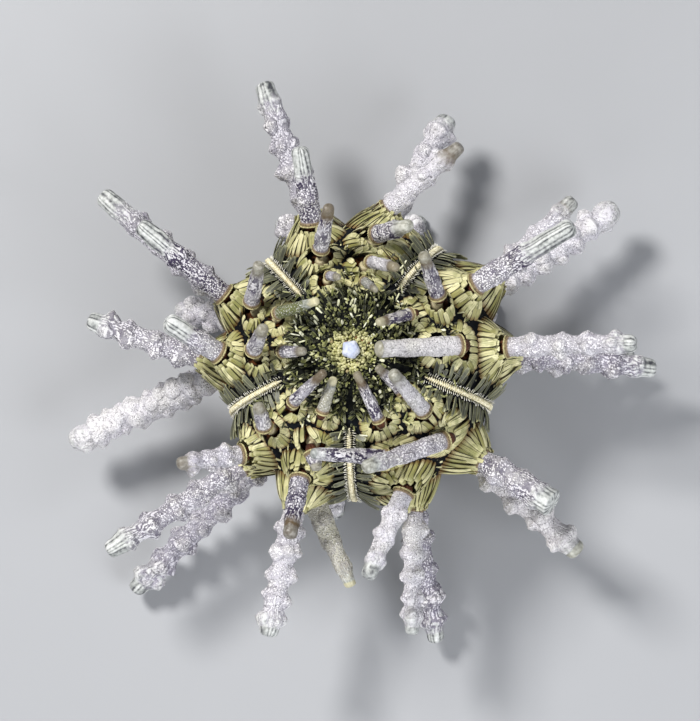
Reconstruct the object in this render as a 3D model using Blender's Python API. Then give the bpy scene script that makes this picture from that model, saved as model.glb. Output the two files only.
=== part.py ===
"""A dried sputnik sea urchin, whole, lying mouth down on the tips of its lower spines.

Lengths are millimetres and angles are degrees until a finished mesh is scaled to metres.
An azimuth turns from +X towards +Y, and a lift rises from the horizontal.
A polar angle is measured on the shell's spheroid from the top.
"""

import math
import random

import bmesh
import bpy
from mathutils import Matrix, Vector

METRE = 0.001
GAP = 0.3
UP = Vector((0.0, 0.0, 1.0))

# Shell: a flattened spheroid in five zones with tube feet and five broad zones with spines.
SHELL_RADIUS = 20.0
SHELL_HALF_HEIGHT = 12.5
SHELL_CENTRE = Vector((0.0, 0.0, 19.6))
CORE_RADIUS = 4.0
ZONES = 5
FOOT_ZONES = (54.0, 132.0, 201.5, 267.5, 340.0)
FOOT_ZONE_SPAN = 14.0
COLUMNS = ((3.5, 30.0), (82.0, 109.0), (155.0, 180.0), (221.0, 245.0), (291.5, 319.5))
COLUMN_TURN = 12.0
ZIGZAG = 1.6
DISC_POLAR = 26.0
MOUTH_POLAR = 156.0
SEAT_SLOPE = 1.0

# Rows of spines down a column, as distances along the shell from the disc's edge. The two
# columns of a zone alternate, so one starts nearer the disc than the other.
ROWS = {
    "1a": (3.4, 7.6, 13.3, 19.4, 25.3, 30.2, 33.5),
    "1b": (1.6, 5.4, 10.6, 16.4, 22.4, 28.0, 32.4),
    "2a": (1.2, 4.1, 8.8, 15.2, 21.8, 27.8, 32.4),
    "2b": (2.4, 6.1, 11.4, 18.2, 24.8, 30.0, 33.5),
    "3a": (3.6, 7.8, 12.9, 19.2, 25.3, 30.2, 33.5),
    "3b": (1.6, 5.6, 10.6, 16.4, 22.4, 28.0, 32.4),
    "4a": (2.9, 8.2, 13.9, 19.6, 25.3, 30.2, 33.5),
    "4b": (1.5, 5.6, 10.0, 16.2, 22.3, 28.0, 32.4),
    "5a": (2.6, 7.4, 12.5, 19.0, 25.3, 30.2, 33.5),
    "5b": (1.4, 5.0, 10.2, 16.4, 22.4, 28.0, 32.4),
}

# Long spines: half thickness, default lift and length for each row from the disc down.
ROW_RADIUS = (0.85, 1.1, 1.4, 1.4, 1.45, 1.3, 0.85)
ROW_LIFT = (62, 48, 26, 4, -14, -56, -66)
ROW_LENGTH = (6.5, 8.5, 14.0, 22.0, 24.0, 0.0, 0.0)
FOOT_ROW = 5
MOUTH_ROW = 6
MOUTH_TIP_HEIGHT = 1.4
AZIMUTH_VARIES = 6.0
LIFT_VARIES = 3.0
LENGTH_VARIES = 1.5
SOCKET_HEIGHT = 1.2
ROOT_DEPTH = 1.0
SPINE_SIDES = (5, 5, 6, 6, 6, 6, 5)

# Down each shaft from its joint: the milled ring, the smooth neck, then whorls of knobs.
RING_AT = 1.1
RING_SHARE = 1.3
NECK_AT = 2.0
WHORLS = (0, 0, 0, 3, 3, 1, 0)
KNOB_SHARE = 0.4
WHORL_SPAN = (0.36, 0.78)
CROWN_LENGTH = 1.6
CROWN_NECK_SHARE = 0.95
CROWN_SHARE = (0.8, 0.85, 0.95, 1.12, 1.12, 0.9, 0.7)

# Flat blades round each spine's socket, by row. They lean on the spine's neck.
BLADES = (4, 6, 6, 6, 6, 5, 3)
BLADE_LENGTH = (2.6, 3.2, 3.8, 4.0, 4.0, 3.6, 2.6)
BLADE_VARIES = 0.1
BLADE_TURN_VARIES = 0.12
BLADE_WIDTH = 1.15
BLADE_THICKNESS = 0.6
BLADE_TIP_SHARE = 0.85
BLADE_SINK = 0.6
BLADE_LEAN = 0.8
BLADE_CLEAR = 0.5
BLADE_REACH = 1.4
BLADE_EDGE = 0.6
BLADE_END = 0.9
BLADE_RING = 4.0
BLADE_SHORTEST = 0.9
BLADE_CUTS = (1.0, 0.85, 0.7, 0.55)

# Foot zone: a raised cream strip along its middle between two bands of tube feet, with a
# row of short blades on either side that lean out over them.
STRIP_HALF_WIDTH = 0.5
STRIP_FOOT = 0.75
STRIP_HEIGHT = 0.4
FOOT_ZONE_RINGS = 9
FOOT_BLADES = 9
FOOT_BLADES_FROM = 39.0
FOOT_BLADES_TO = 141.0
FOOT_BLADE_AT = 1.0
FOOT_BLADE_LENGTH = 2.3
FOOT_BLADE_LEAN = 30.0
FOOT_LEAN_VARIES = 5.0
FOOT_BLADE_WIDTH = 0.9
FOOT_BLADE_THICKNESS = 0.55

# Apical disc on top, with short blunt blades, the periproct let into it and the anal nub.
APICAL_SEGMENTS = 24
DISC_BLADES = 22
DISC_BLADE_HEIGHT = 1.5
DISC_BLADE_VARIES = 0.15
DISC_BLADE_WIDTH = 0.75
DISC_BLADE_LEAN = 25.0
DISC_LEAN_VARIES = 10.0
GOLDEN_TURN = 137.5
PERIPROCT_RADIUS = 3.6
PERIPROCT_DEPTH = 1.4
PERIPROCT_SEGMENTS = 20
NUB_RADIUS = 1.15
NUB_HEIGHT = 1.7
NUB_SINK = 0.5
NUB_SEGMENTS = 12
NUB_OUTLINE = ((1.0, 0.55), (0.75, 0.88), (0.0, 1.0))

# Mouth: a ring of overlapping scale rows, and five teeth on one base in the opening.
MOUTH_SEGMENTS = 20
MOUTH_RADIUS = 2.6
MOUTH_DEPTH = 1.5
SCALE_ROWS = 3
SCALE_ROW_HEIGHT = 0.45
SCALE_SHARE = 0.85
SCALE_DROP = 0.1
TEETH_BASE = 0.8
TOOTH_HEIGHT = 2.6
TOOTH_SINK = 0.5
TOOTH_DISTANCE = (1.4, 1.2, 0.45)
TOOTH_THICKNESS = (0.55, 0.5, 0.2)
TOOTH_DEPTHS = (0.0, 0.3, 1.0)

# Spines that the photograph shows: azimuth, lift and length, by column and row.
SHOWN = {
    ("1a", 1): (187, 31, 14.5),
    ("1a", 2): (0, 15, 20.5),
    ("1a", 3): (356, -12, 22.5),
    ("1b", 0): (202, 42, 7.5),
    ("1b", 1): (107, 55, 10.0),
    ("1b", 2): (27, 22, 18.5),
    ("1b", 3): (42, 10, 18.0),
    ("1b", 4): (34, -12, 25.5),
    ("2a", 0): (316, 60, 7.5),
    ("2a", 1): (339, 50, 8.5),
    ("2a", 2): (0, 50, 9.5),
    ("2a", 3): (37, 20, 16.5),
    ("2a", 4): (63, -14, 21.5),
    ("2a", 5): (60, -43, 0.0),
    ("2b", 0): (340, 60, 5.0),
    ("2b", 1): (66, 55, 10.5),
    ("2b", 2): (95, 30, 13.0),
    ("2b", 3): (110, 3, 23.0),
    ("2b", 4): (139, -42, 14.5),
    ("3a", 0): (7, 45, 10.5),
    ("3a", 1): (61, 60, 10.5),
    ("3a", 2): (141, 22, 17.5),
    ("3a", 3): (140, 2, 26.0),
    ("3a", 4): (167, -33, 17.0),
    ("3b", 0): (352, 45, 6.5),
    ("3b", 1): (42, 65, 9.0),
    ("3b", 2): (151, 35, 11.0),
    ("3b", 3): (162, 8, 19.5),
    ("3b", 4): (202, -10, 27.5),
    ("4a", 0): (36, 44, 10.0),
    ("4a", 1): (96, 60, 6.5),
    ("4a", 2): (193, 30, 11.5),
    ("4a", 3): (213, 5, 25.5),
    ("4a", 4): (223, -15, 32.0),
    ("4b", 0): (67, 34, 7.0),
    ("4b", 1): (287, 15, 4.0),
    ("4b", 2): (264, 30, 11.5),
    ("4b", 3): (258, 0, 21.0),
    ("4b", 4): (292, -5, 16.0),
    ("4b", 5): (276, -53, 0.0),
    ("5a", 0): (114, 35, 9.5),
    ("5a", 1): (179, 23, 12.5),
    ("5a", 2): (248, 20, 15.5),
    ("5a", 3): (268, 2, 20.0),
    ("5a", 4): (279, -18, 25.5),
    ("5b", 0): (134, 24, 6.5),
    ("5b", 1): (132, 58, 12.0),
    ("5b", 2): (204, 33, 15.5),
    ("5b", 3): (328, 15, 14.5),
    ("5b", 4): (318, -8, 22.5),
}

MISSING = {("1a", 0)}

SEED = 7

COLOURS = {
    "foot_zone": ((0.22, 0.22, 0.14), 0.7),
    "spine_zone": ((0.62, 0.59, 0.60), 0.7),
    "apical_disc": ((0.07, 0.09, 0.05), 0.6),
    "periproct": ((0.30, 0.33, 0.12), 0.6),
    "anal_nub": ((0.55, 0.62, 0.75), 0.6),
    "peristome": ((0.36, 0.31, 0.20), 0.8),
    "teeth": ((0.85, 0.82, 0.75), 0.5),
}


def heading(azimuth):
    turn = math.radians(azimuth)
    return Vector((math.cos(turn), math.sin(turn), 0.0))


def aim(azimuth, lift):
    rise = math.radians(lift)
    return heading(azimuth) * math.cos(rise) + UP * math.sin(rise)


def meridian_rate(polar):
    """Distance along the shell for each degree of polar angle."""
    turn = math.radians(polar)
    across = SHELL_RADIUS * math.cos(turn)
    down = SHELL_HALF_HEIGHT * math.sin(turn)
    return math.radians(1.0) * math.hypot(across, down)


def shell_run():
    """Distance along the shell from the disc's edge to the mouth's."""
    steps = 100
    step = (MOUTH_POLAR - DISC_POLAR) / steps
    return sum(meridian_rate(DISC_POLAR + step * (index + 0.5)) * step for index in range(steps))


def polar_at(distance):
    """Polar angle this far along the shell from the disc's edge."""
    step = 0.1
    polar = DISC_POLAR
    while distance > 0.0:
        distance -= meridian_rate(polar) * step
        polar += step
    return polar


def shell_ring(polar):
    """Distance from the axis and height above the shell's centre."""
    turn = math.radians(polar)
    return SHELL_RADIUS * math.sin(turn), SHELL_HALF_HEIGHT * math.cos(turn)


def on_shell(polar, azimuth):
    """A point of the shell and the outward normal there."""
    radius, height = shell_ring(polar)
    point = SHELL_CENTRE + heading(azimuth) * radius + UP * height
    slope = heading(azimuth) * (radius / SHELL_RADIUS**2) + UP * (height / SHELL_HALF_HEIGHT**2)
    return point, slope.normalized()


def frame_across(direction):
    """Two unit vectors across a direction."""
    side = direction.cross(UP)
    if side.length < 0.1:
        side = direction.cross(Vector((1.0, 0.0, 0.0)))
    side.normalize()
    return side, side.cross(direction).normalized()


def ring_of_points(centre, across, radii, twist=0.0):
    """Points round a centre, one for each radius."""
    side, other = across
    points = []
    for index, radius in enumerate(radii):
        turn = 2.0 * math.pi * index / len(radii) + math.radians(twist)
        points.append(centre + side * (radius * math.cos(turn)) + other * (radius * math.sin(turn)))
    return points


def loft(rings):
    """A closed solid whose cross-sections are these rings of points."""
    mesh = bmesh.new()
    foot = [mesh.verts.new(point) for point in rings[0]]
    end = mesh.faces.new(foot)
    for ring in rings[1:]:
        end = bmesh.ops.extrude_discrete_faces(mesh, faces=[end])["faces"][0]
        for vertex, point in zip(end.verts, ring):
            vertex.co = point
    mesh.faces.new(foot)
    bmesh.ops.recalc_face_normals(mesh, faces=mesh.faces)
    return mesh


def turned(profile, segments):
    """A closed solid of revolution about the shell's axis, from (radius, height) points."""
    mesh = bmesh.new()
    points = [mesh.verts.new((radius, 0.0, height)) for radius, height in profile]
    edges = [mesh.edges.new(pair) for pair in zip(points, points[1:])]
    bmesh.ops.spin(
        mesh,
        geom=points + edges,
        axis=UP,
        cent=(0.0, 0.0, 0.0),
        steps=segments,
        angle=2.0 * math.pi,
        use_merge=True,
    )
    bmesh.ops.remove_doubles(mesh, verts=mesh.verts, dist=1e-4)
    bmesh.ops.recalc_face_normals(mesh, faces=mesh.faces)
    bmesh.ops.translate(mesh, verts=mesh.verts, vec=SHELL_CENTRE)
    return mesh


def mesh_object(name, mesh):
    data = bpy.data.meshes.new(name)
    mesh.to_mesh(data)
    mesh.free()
    return bpy.data.objects.new(name, data)


def largest_body(mesh):
    """Keep the largest closed surface of a mesh."""
    unseen = set(mesh.verts)
    bodies = []
    while unseen:
        body = {unseen.pop()}
        edge_of_search = list(body)
        while edge_of_search:
            vertex = edge_of_search.pop()
            for edge in vertex.link_edges:
                other = edge.other_vert(vertex)
                if other not in body:
                    body.add(other)
                    edge_of_search.append(other)
        unseen -= body
        bodies.append(body)
    bodies.sort(key=len)
    for body in bodies[:-1]:
        bmesh.ops.delete(mesh, geom=list(body), context="VERTS")


def fused(name, base, pieces):
    """One solid from a base and the pieces rooted in it."""
    body = mesh_object(name, base)
    bpy.context.scene.collection.objects.link(body)
    if not pieces:
        return body
    rooted = bpy.data.collections.new(name + "_pieces")
    bpy.context.scene.collection.children.link(rooted)
    for index, piece in enumerate(pieces):
        rooted.objects.link(mesh_object(f"{name}_piece_{index}", piece))
    union = body.modifiers.new("rooted pieces", "BOOLEAN")
    union.operation = "UNION"
    union.operand_type = "COLLECTION"
    union.collection = rooted
    union.solver = "MANIFOLD"
    graph = bpy.context.evaluated_depsgraph_get()
    joined = bmesh.new()
    joined.from_mesh(body.evaluated_get(graph).to_mesh())
    largest_body(joined)
    body.modifiers.remove(union)
    joined.to_mesh(body.data)
    joined.free()
    for piece in list(rooted.objects):
        bpy.data.objects.remove(piece)
    bpy.data.collections.remove(rooted)
    return body


def sector(columns, polars, outer, inner):
    """A closed wedge of the shell: a grid of outer points, extruded in to the core, where
    the grid's columns draw together into one."""
    rings = len(polars) - 1
    mesh = bmesh.new()
    bmesh.ops.create_grid(mesh, x_segments=columns, y_segments=rings, size=1.0)
    inside = bmesh.ops.extrude_face_region(mesh, geom=mesh.faces[:], use_keep_orig=True)["geom"]
    inside = {item for item in inside if isinstance(item, bmesh.types.BMVert)}
    for vertex in mesh.verts:
        across = round((vertex.co.x + 1.0) / 2.0 * columns)
        down = round((vertex.co.y + 1.0) / 2.0 * rings)
        if vertex in inside:
            vertex.co = inner(0 if across <= columns // 2 else columns, down)
        else:
            vertex.co = outer(across, down)
    bmesh.ops.remove_doubles(mesh, verts=mesh.verts, dist=1e-4)
    bmesh.ops.recalc_face_normals(mesh, faces=mesh.faces)
    return mesh


def core_point(polars, down, azimuth, shift):
    """A point of the core's wall, level with a ring of the outer surface."""
    top_radius, top_height = shell_ring(polars[0])
    last_radius, last_height = shell_ring(polars[-1])
    top = top_height - (top_radius - CORE_RADIUS) * SEAT_SLOPE
    last = last_height + (last_radius - CORE_RADIUS) * SEAT_SLOPE
    height = top + (last - top) * down / (len(polars) - 1)
    side = heading(azimuth + 90.0)
    return SHELL_CENTRE + heading(azimuth) * CORE_RADIUS + side * shift + UP * height


def column_label(zone, column):
    return f"{zone + 1}{'ab'[column]}"


def column_name(zone, column):
    return f"spine_zone_{column_label(zone, column)}"


def column_rows(zone, column):
    return ROWS[column_label(zone, column)]


def zone_rows(zone):
    """Every row of a zone from the disc down, each with its column."""
    return sorted((row, column) for column in range(2) for row in column_rows(zone, column))


def suture_azimuth(zone, down):
    """The zigzag line between the two columns of a zone: it swells out beside each spine."""
    middle = sum(COLUMNS[zone]) / 2.0
    rows = zone_rows(zone)
    if down == 0 or down > len(rows):
        return middle
    _, column = rows[down - 1]
    return middle + (-ZIGZAG if column else ZIGZAG)


def column_wedge(zone, column):
    polars = [DISC_POLAR] + [polar_at(row) for row, _ in zone_rows(zone)] + [MOUTH_POLAR]
    columns = 2
    if column:
        edge = FOOT_ZONES[zone] - FOOT_ZONE_SPAN / 2.0
    else:
        edge = FOOT_ZONES[zone - 1] + FOOT_ZONE_SPAN / 2.0 - (0.0 if zone else 360.0)

    def limits(down):
        suture = suture_azimuth(zone, down)
        return (suture, edge) if column else (edge, suture)

    def place(across, down, ring):
        low, high = limits(down)
        azimuth = low + (high - low) * across / columns
        shift = GAP / 2.0 if across == 0 else -GAP / 2.0 if across == columns else 0.0
        return ring(azimuth, shift, down)

    def shell_point(azimuth, shift, down):
        point, _ = on_shell(polars[down], azimuth)
        return point + heading(azimuth + 90.0) * shift

    def inner_point(azimuth, shift, down):
        return core_point(polars, down, azimuth, shift)

    return sector(
        columns,
        polars,
        lambda across, down: place(across, down, shell_point),
        lambda across, down: place(across, down, inner_point),
    )


def foot_zone_wedge(zone):
    middle = FOOT_ZONES[zone]
    step = (MOUTH_POLAR - DISC_POLAR) / FOOT_ZONE_RINGS
    polars = [DISC_POLAR + step * index for index in range(FOOT_ZONE_RINGS + 1)]
    offsets = (-STRIP_FOOT, -STRIP_HALF_WIDTH, STRIP_HALF_WIDTH, STRIP_FOOT)
    heights = (0.0, STRIP_HEIGHT, STRIP_HEIGHT, 0.0)
    columns = len(offsets) + 1

    def shell_point(across, down):
        if 0 < across < columns:
            point, normal = on_shell(polars[down], middle)
            side = heading(middle + 90.0)
            return point + side * offsets[across - 1] + normal * heights[across - 1]
        side = -1.0 if across == 0 else 1.0
        azimuth = middle + side * FOOT_ZONE_SPAN / 2.0
        point, _ = on_shell(polars[down], azimuth)
        return point - heading(azimuth + 90.0) * (side * GAP / 2.0)

    def inner_point(across, down):
        side = -1.0 if across == 0 else 1.0
        azimuth = middle + side * FOOT_ZONE_SPAN / 2.0
        return core_point(polars, down, azimuth, -side * GAP / 2.0)

    return sector(columns, polars, shell_point, inner_point)


def foot_zone_name(zone):
    return f"foot_zone_{zone + 1}"


def foot_zone_blades(zone, crowd, draw):
    """Two rows of short blades that lean out over the tube feet."""
    node = foot_zone_name(zone)
    middle = FOOT_ZONES[zone]
    pieces = []
    for index in range(FOOT_BLADES):
        polar = FOOT_BLADES_FROM + (FOOT_BLADES_TO - FOOT_BLADES_FROM) * index / (FOOT_BLADES - 1)
        point, normal = on_shell(polar, middle)
        for hand in (-1.0, 1.0):
            side = heading(middle + 90.0) * hand
            lean = math.radians(FOOT_BLADE_LEAN + draw.uniform(-FOOT_LEAN_VARIES, FOOT_LEAN_VARIES))
            direction = normal * math.cos(lean) + side * math.sin(lean)
            foot = point + side * FOOT_BLADE_AT
            length = FOOT_BLADE_LENGTH * (1.0 + draw.uniform(-BLADE_VARIES, BLADE_VARIES))
            tip = crowd.place(node, foot, normal, direction, length, FOOT_BLADE_WIDTH / 2.0)
            if tip is None:
                continue
            along = side.cross(direction).normalized()
            pieces.append(blade(foot, normal, along, tip, FOOT_BLADE_WIDTH, FOOT_BLADE_THICKNESS))
    return pieces


class Spine:
    """One long spine: where it is jointed on the shell, its direction and its outline."""

    def __init__(self, zone, column, row, draw):
        self.node = column_name(zone, column)
        self.zone_column = (zone, column)
        self.row = row
        azimuth = COLUMNS[zone][column]
        self.along = column_rows(zone, column)[row]
        self.polar = polar_at(self.along)
        self.azimuth = azimuth
        self.key = (column_label(zone, column), row)
        self.foot, self.normal = on_shell(self.polar, azimuth)
        self.joint = self.foot + self.normal * SOCKET_HEIGHT
        spread = draw.uniform(-AZIMUTH_VARIES, AZIMUTH_VARIES)
        sway = draw.uniform(-LIFT_VARIES, LIFT_VARIES)
        stretch = draw.uniform(-LENGTH_VARIES, LENGTH_VARIES)
        default = (azimuth + spread, ROW_LIFT[row] + sway, ROW_LENGTH[row] + stretch)
        turn, lift, length = SHOWN.get(self.key, default)
        self.direction = aim(turn, lift)
        if row == FOOT_ROW:
            length = -self.joint.z / self.direction.z
        if row == MOUTH_ROW:
            length = (MOUTH_TIP_HEIGHT - self.joint.z) / self.direction.z
        self.length = length
        self.radius = ROW_RADIUS[row]
        self.tip = self.joint + self.direction * length

    def outline(self):
        """Distance from the joint, half thickness and knob size, from the neck to the tip."""
        sections = [(RING_AT, RING_SHARE, 0.0), (NECK_AT, 1.0, 0.0)]
        whorls = WHORLS[self.row]
        start, end = WHORL_SPAN
        for index in range(whorls):
            place = start + (end - start) * (index + 0.5) / whorls
            sections.append((place * self.length, 1.0, KNOB_SHARE))
            if index < whorls - 1:
                gap = start + (end - start) * (index + 1.0) / whorls
                sections.append((gap * self.length, 1.0, 0.0))
        if whorls > 1:
            sections.append((self.length - CROWN_LENGTH, CROWN_NECK_SHARE, 0.0))
        return [(along, share * self.radius, knob * self.radius) for along, share, knob in sections]

    def mesh(self):
        across = frame_across(self.direction)
        middle = (self.normal + self.direction).normalized()
        sides = SPINE_SIDES[self.row]
        plain = [self.radius] * sides
        rings = [
            ring_of_points(self.foot - self.normal * ROOT_DEPTH, self.aligned(self.normal), plain),
            ring_of_points(self.joint, self.aligned(middle), plain),
        ]
        whorl = 0
        for along, radius, knob in self.outline():
            radii = [radius] * sides
            if knob:
                radii = [radius + knob * ((side + whorl) % 2) for side in range(sides)]
                whorl += 1
            rings.append(ring_of_points(self.joint + self.direction * along, across, radii))
        crown = self.radius * CROWN_SHARE[self.row]
        tip = ring_of_points(self.tip, across, [crown] * sides)
        if self.row == FOOT_ROW:
            tip = [point - self.direction * (point.z / self.direction.z) for point in tip]
        rings.append(tip)
        return loft(rings)

    def aligned(self, direction):
        """Vectors across a direction, turned so that they match those across the shaft."""
        side, _ = frame_across(self.direction)
        side = (side - direction * side.dot(direction)).normalized()
        return side, side.cross(direction).normalized()


def gap_between(first, second):
    """Shortest distance between two straight bars, each a start, an end and a radius."""
    start, end, radius = first
    other_start, other_end, other_radius = second
    run, other_run, offset = end - start, other_end - other_start, start - other_start
    length, other_length, mixed = run.dot(run), other_run.dot(other_run), run.dot(other_run)
    spread = length * other_length - mixed * mixed
    along = 0.0
    if spread > 1e-9:
        along = (mixed * other_run.dot(offset) - run.dot(offset) * other_length) / spread
        along = min(max(along, 0.0), 1.0)
    other_along = (mixed * along + other_run.dot(offset)) / other_length
    if not 0.0 <= other_along <= 1.0:
        other_along = min(max(other_along, 0.0), 1.0)
        along = min(max((mixed * other_along - run.dot(offset)) / length, 0.0), 1.0)
    reach = start + run * along - other_start - other_run * other_along
    return reach.length - radius - other_radius


class Crowd:
    """The bars already placed, with the node that each belongs to."""

    def __init__(self):
        self.bars = []

    def add(self, node, start, end, radius):
        self.bars.append((node, (start, end, radius)))

    def place(self, node, foot, normal, direction, length, radius):
        """The tip of a new bar, cut short to stay clear of every other node, or None."""
        root = foot - normal * BLADE_SINK
        others = [other for owner, other in self.bars if owner != node]
        for cut in BLADE_CUTS:
            tip = foot + direction * (length * cut)
            if length * cut < BLADE_SHORTEST:
                return None
            if all(gap_between((root, tip, radius), other) > GAP for other in others):
                self.add(node, root, tip, radius)
                return tip
        return None


def blade(foot, normal, side, tip, width, thickness):
    """A flat, three-edged blade whose flat face looks away from what it leans on."""
    inward = side.cross((tip - foot).normalized()).normalized()
    rings = []
    for centre, share in ((foot - normal * BLADE_SINK, 1.0), (tip, BLADE_TIP_SHARE)):
        half = side * (width * share / 2.0)
        back = inward * (thickness * share)
        edges = (centre - half - back / 3.0, centre + half - back / 3.0)
        rings.append([*edges, centre + back * 2.0 / 3.0])
    return loft(rings)


def socket_blades(spine, crowd, draw):
    """The blades round one spine's socket, within its share of the column."""
    others = [row for row in column_rows(*spine.zone_column) if row != spine.along]
    gap_down = min(abs(spine.along - row) for row in others)
    radius, _ = shell_ring(spine.polar)
    ring_across = min(radius * math.tan(math.radians(COLUMN_TURN)) - BLADE_EDGE, BLADE_RING)
    ring_down = min(gap_down / 2.0, BLADE_RING)
    highest = BLADE_END - spine.along
    lowest = shell_run() - BLADE_END - spine.along
    count = BLADES[spine.row]
    pieces = []
    for index in range(count):
        shift = 0.5 * (spine.row % 2) + draw.uniform(-BLADE_TURN_VARIES, BLADE_TURN_VARIES)
        turn = 2.0 * math.pi * (index + shift) / count
        down = min(max(ring_down * math.sin(turn), highest), lowest)
        across = ring_across * math.cos(turn)
        polar = spine.polar + down / meridian_rate(spine.polar)
        foot, normal = on_shell(polar, spine.azimuth + math.degrees(across / shell_ring(polar)[0]))
        length = BLADE_LENGTH[spine.row] * (1.0 + draw.uniform(-BLADE_VARIES, BLADE_VARIES))
        upright = spine.direction.dot(spine.normal)
        rise = length * min(1.0 / upright, BLADE_REACH) if upright > 0.0 else length * BLADE_REACH
        target = spine.joint + spine.direction * (rise - SOCKET_HEIGHT)
        top = foot + normal * length
        lean = target - top
        lean -= spine.direction * lean.dot(spine.direction)
        inward = lean.length - spine.radius - BLADE_CLEAR
        direction = (top + lean.normalized() * (inward * BLADE_LEAN) - foot).normalized()
        side = direction.cross(foot - spine.foot).normalized()
        tip = crowd.place(spine.node, foot, normal, direction, length, BLADE_WIDTH / 2.0)
        if tip is None:
            continue
        pieces.append(blade(foot, normal, side, tip, BLADE_WIDTH, BLADE_THICKNESS))
    return pieces


def all_spines():
    draw = random.Random(SEED)
    spines = []
    for zone in range(ZONES):
        for column in range(2):
            for row in range(len(ROW_RADIUS)):
                spine = Spine(zone, column, row, draw)
                if spine.key not in MISSING:
                    spines.append(spine)
    return spines


def seat_fall():
    """How far a seat's slope is shifted along the axis to leave the gap square to it."""
    return GAP * math.hypot(1.0, SEAT_SLOPE)


def dome_height(radius):
    return SHELL_HALF_HEIGHT * math.sqrt(1.0 - (radius / SHELL_RADIUS) ** 2)


def apical_disc():
    """The disc with its plug down the core and the recess for the periproct."""
    edge_radius, edge_height = shell_ring(DISC_POLAR)
    rim = edge_radius - GAP
    plug = CORE_RADIUS - GAP
    recess = PERIPROCT_RADIUS + GAP
    floor = dome_height(recess) - PERIPROCT_DEPTH - GAP
    seat = edge_height + seat_fall() - (edge_radius - plug) * SEAT_SLOPE
    outline = [(0.0, GAP / 2.0), (plug, GAP / 2.0), (plug, seat)]
    for radius in (rim, (rim + recess) / 2.0, recess):
        outline.append((radius, dome_height(radius)))
    outline += [(recess, floor), (0.0, floor)]
    return turned(outline, APICAL_SEGMENTS)


def disc_blades(crowd, draw):
    """Short blunt blades scattered evenly over the disc's outer band."""
    outer = shell_ring(DISC_POLAR)[0] - GAP - DISC_BLADE_WIDTH
    inner = PERIPROCT_RADIUS + GAP + DISC_BLADE_WIDTH
    pieces = []
    for index in range(DISC_BLADES):
        share = (index + 0.5) / DISC_BLADES
        radius = math.sqrt(inner**2 + (outer**2 - inner**2) * share)
        azimuth = GOLDEN_TURN * index
        foot, normal = on_shell(math.degrees(math.asin(radius / SHELL_RADIUS)), azimuth)
        lean = math.radians(DISC_BLADE_LEAN + draw.uniform(-DISC_LEAN_VARIES, DISC_LEAN_VARIES))
        direction = (normal * math.cos(lean) + heading(azimuth) * math.sin(lean)).normalized()
        length = DISC_BLADE_HEIGHT * (1.0 + draw.uniform(-DISC_BLADE_VARIES, DISC_BLADE_VARIES))
        tip = crowd.place("apical_disc", foot, normal, direction, length, DISC_BLADE_WIDTH / 2.0)
        if tip is None:
            continue
        side = heading(azimuth + 90.0)
        pieces.append(blade(foot, normal, side, tip, DISC_BLADE_WIDTH, BLADE_THICKNESS))
    return pieces


def periproct():
    floor = dome_height(PERIPROCT_RADIUS) - PERIPROCT_DEPTH
    seat = NUB_RADIUS + GAP
    top = dome_height(seat)
    rim_height = dome_height(PERIPROCT_RADIUS)
    outline = [(0.0, floor), (PERIPROCT_RADIUS, floor), (PERIPROCT_RADIUS, rim_height)]
    outline += [(seat, top), (seat, top - NUB_SINK), (0.0, top - NUB_SINK)]
    return turned(outline, PERIPROCT_SEGMENTS)


def anal_nub():
    bottom = dome_height(NUB_RADIUS + GAP) - NUB_SINK + GAP
    outline = [(0.0, bottom), (NUB_RADIUS, bottom)]
    for share, height in NUB_OUTLINE:
        outline.append((NUB_RADIUS * share, bottom + NUB_HEIGHT * height))
    return turned(outline, NUB_SEGMENTS)


def peristome():
    """The mouth's skin with its plug up the core: rows of scales step in to the opening."""
    edge_radius, edge_height = shell_ring(MOUTH_POLAR)
    rim = edge_radius - GAP
    plug = CORE_RADIUS - GAP
    seat = edge_height - seat_fall() + (edge_radius - plug) * SEAT_SLOPE
    outline = [(0.0, -GAP / 2.0), (plug, -GAP / 2.0), (plug, seat)]
    width = (rim - MOUTH_RADIUS) / SCALE_ROWS
    height = edge_height
    for row in range(SCALE_ROWS):
        radius = rim - width * row
        height = edge_height + SCALE_ROW_HEIGHT * row
        outline.append((radius, height))
        outline.append((radius - width * SCALE_SHARE, height - SCALE_DROP))
    ceiling = height + MOUTH_DEPTH
    outline += [(MOUTH_RADIUS, height - SCALE_DROP), (MOUTH_RADIUS, ceiling), (0.0, ceiling)]
    return turned(outline, MOUTH_SEGMENTS)


def teeth():
    """Five teeth that lean together, with the base that they hang from."""
    _, edge_height = shell_ring(MOUTH_POLAR)
    ceiling = edge_height + SCALE_ROW_HEIGHT * (SCALE_ROWS - 1) + MOUTH_DEPTH - GAP
    radius = MOUTH_RADIUS - GAP
    floor = ceiling - TEETH_BASE
    base = turned([(0.0, ceiling), (radius, ceiling), (radius, floor), (0.0, floor)], NUB_SEGMENTS)
    pieces = []
    for zone in range(ZONES):
        azimuth = sum(COLUMNS[zone]) / 2.0
        out = heading(azimuth)
        across = (heading(azimuth + 90.0), out)
        rings = []
        for distance, thickness, depth in zip(TOOTH_DISTANCE, TOOTH_THICKNESS, TOOTH_DEPTHS):
            height = ceiling - TOOTH_SINK - (TOOTH_HEIGHT - TOOTH_SINK) * depth
            centre = SHELL_CENTRE + out * distance + UP * height
            rings.append(ring_of_points(centre, across, [thickness] * 4, 45.0))
        pieces.append(loft(rings))
    return base, pieces


def settle(nodes):
    """Centre the whole model over the origin and scale it to metres."""
    points = [vertex.co for node in nodes for vertex in node.data.vertices]
    middle_x = (min(point.x for point in points) + max(point.x for point in points)) / 2.0
    middle_y = (min(point.y for point in points) + max(point.y for point in points)) / 2.0
    place = Matrix.Scale(METRE, 4) @ Matrix.Translation((-middle_x, -middle_y, 0.0))
    for node in nodes:
        node.data.transform(place)


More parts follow.
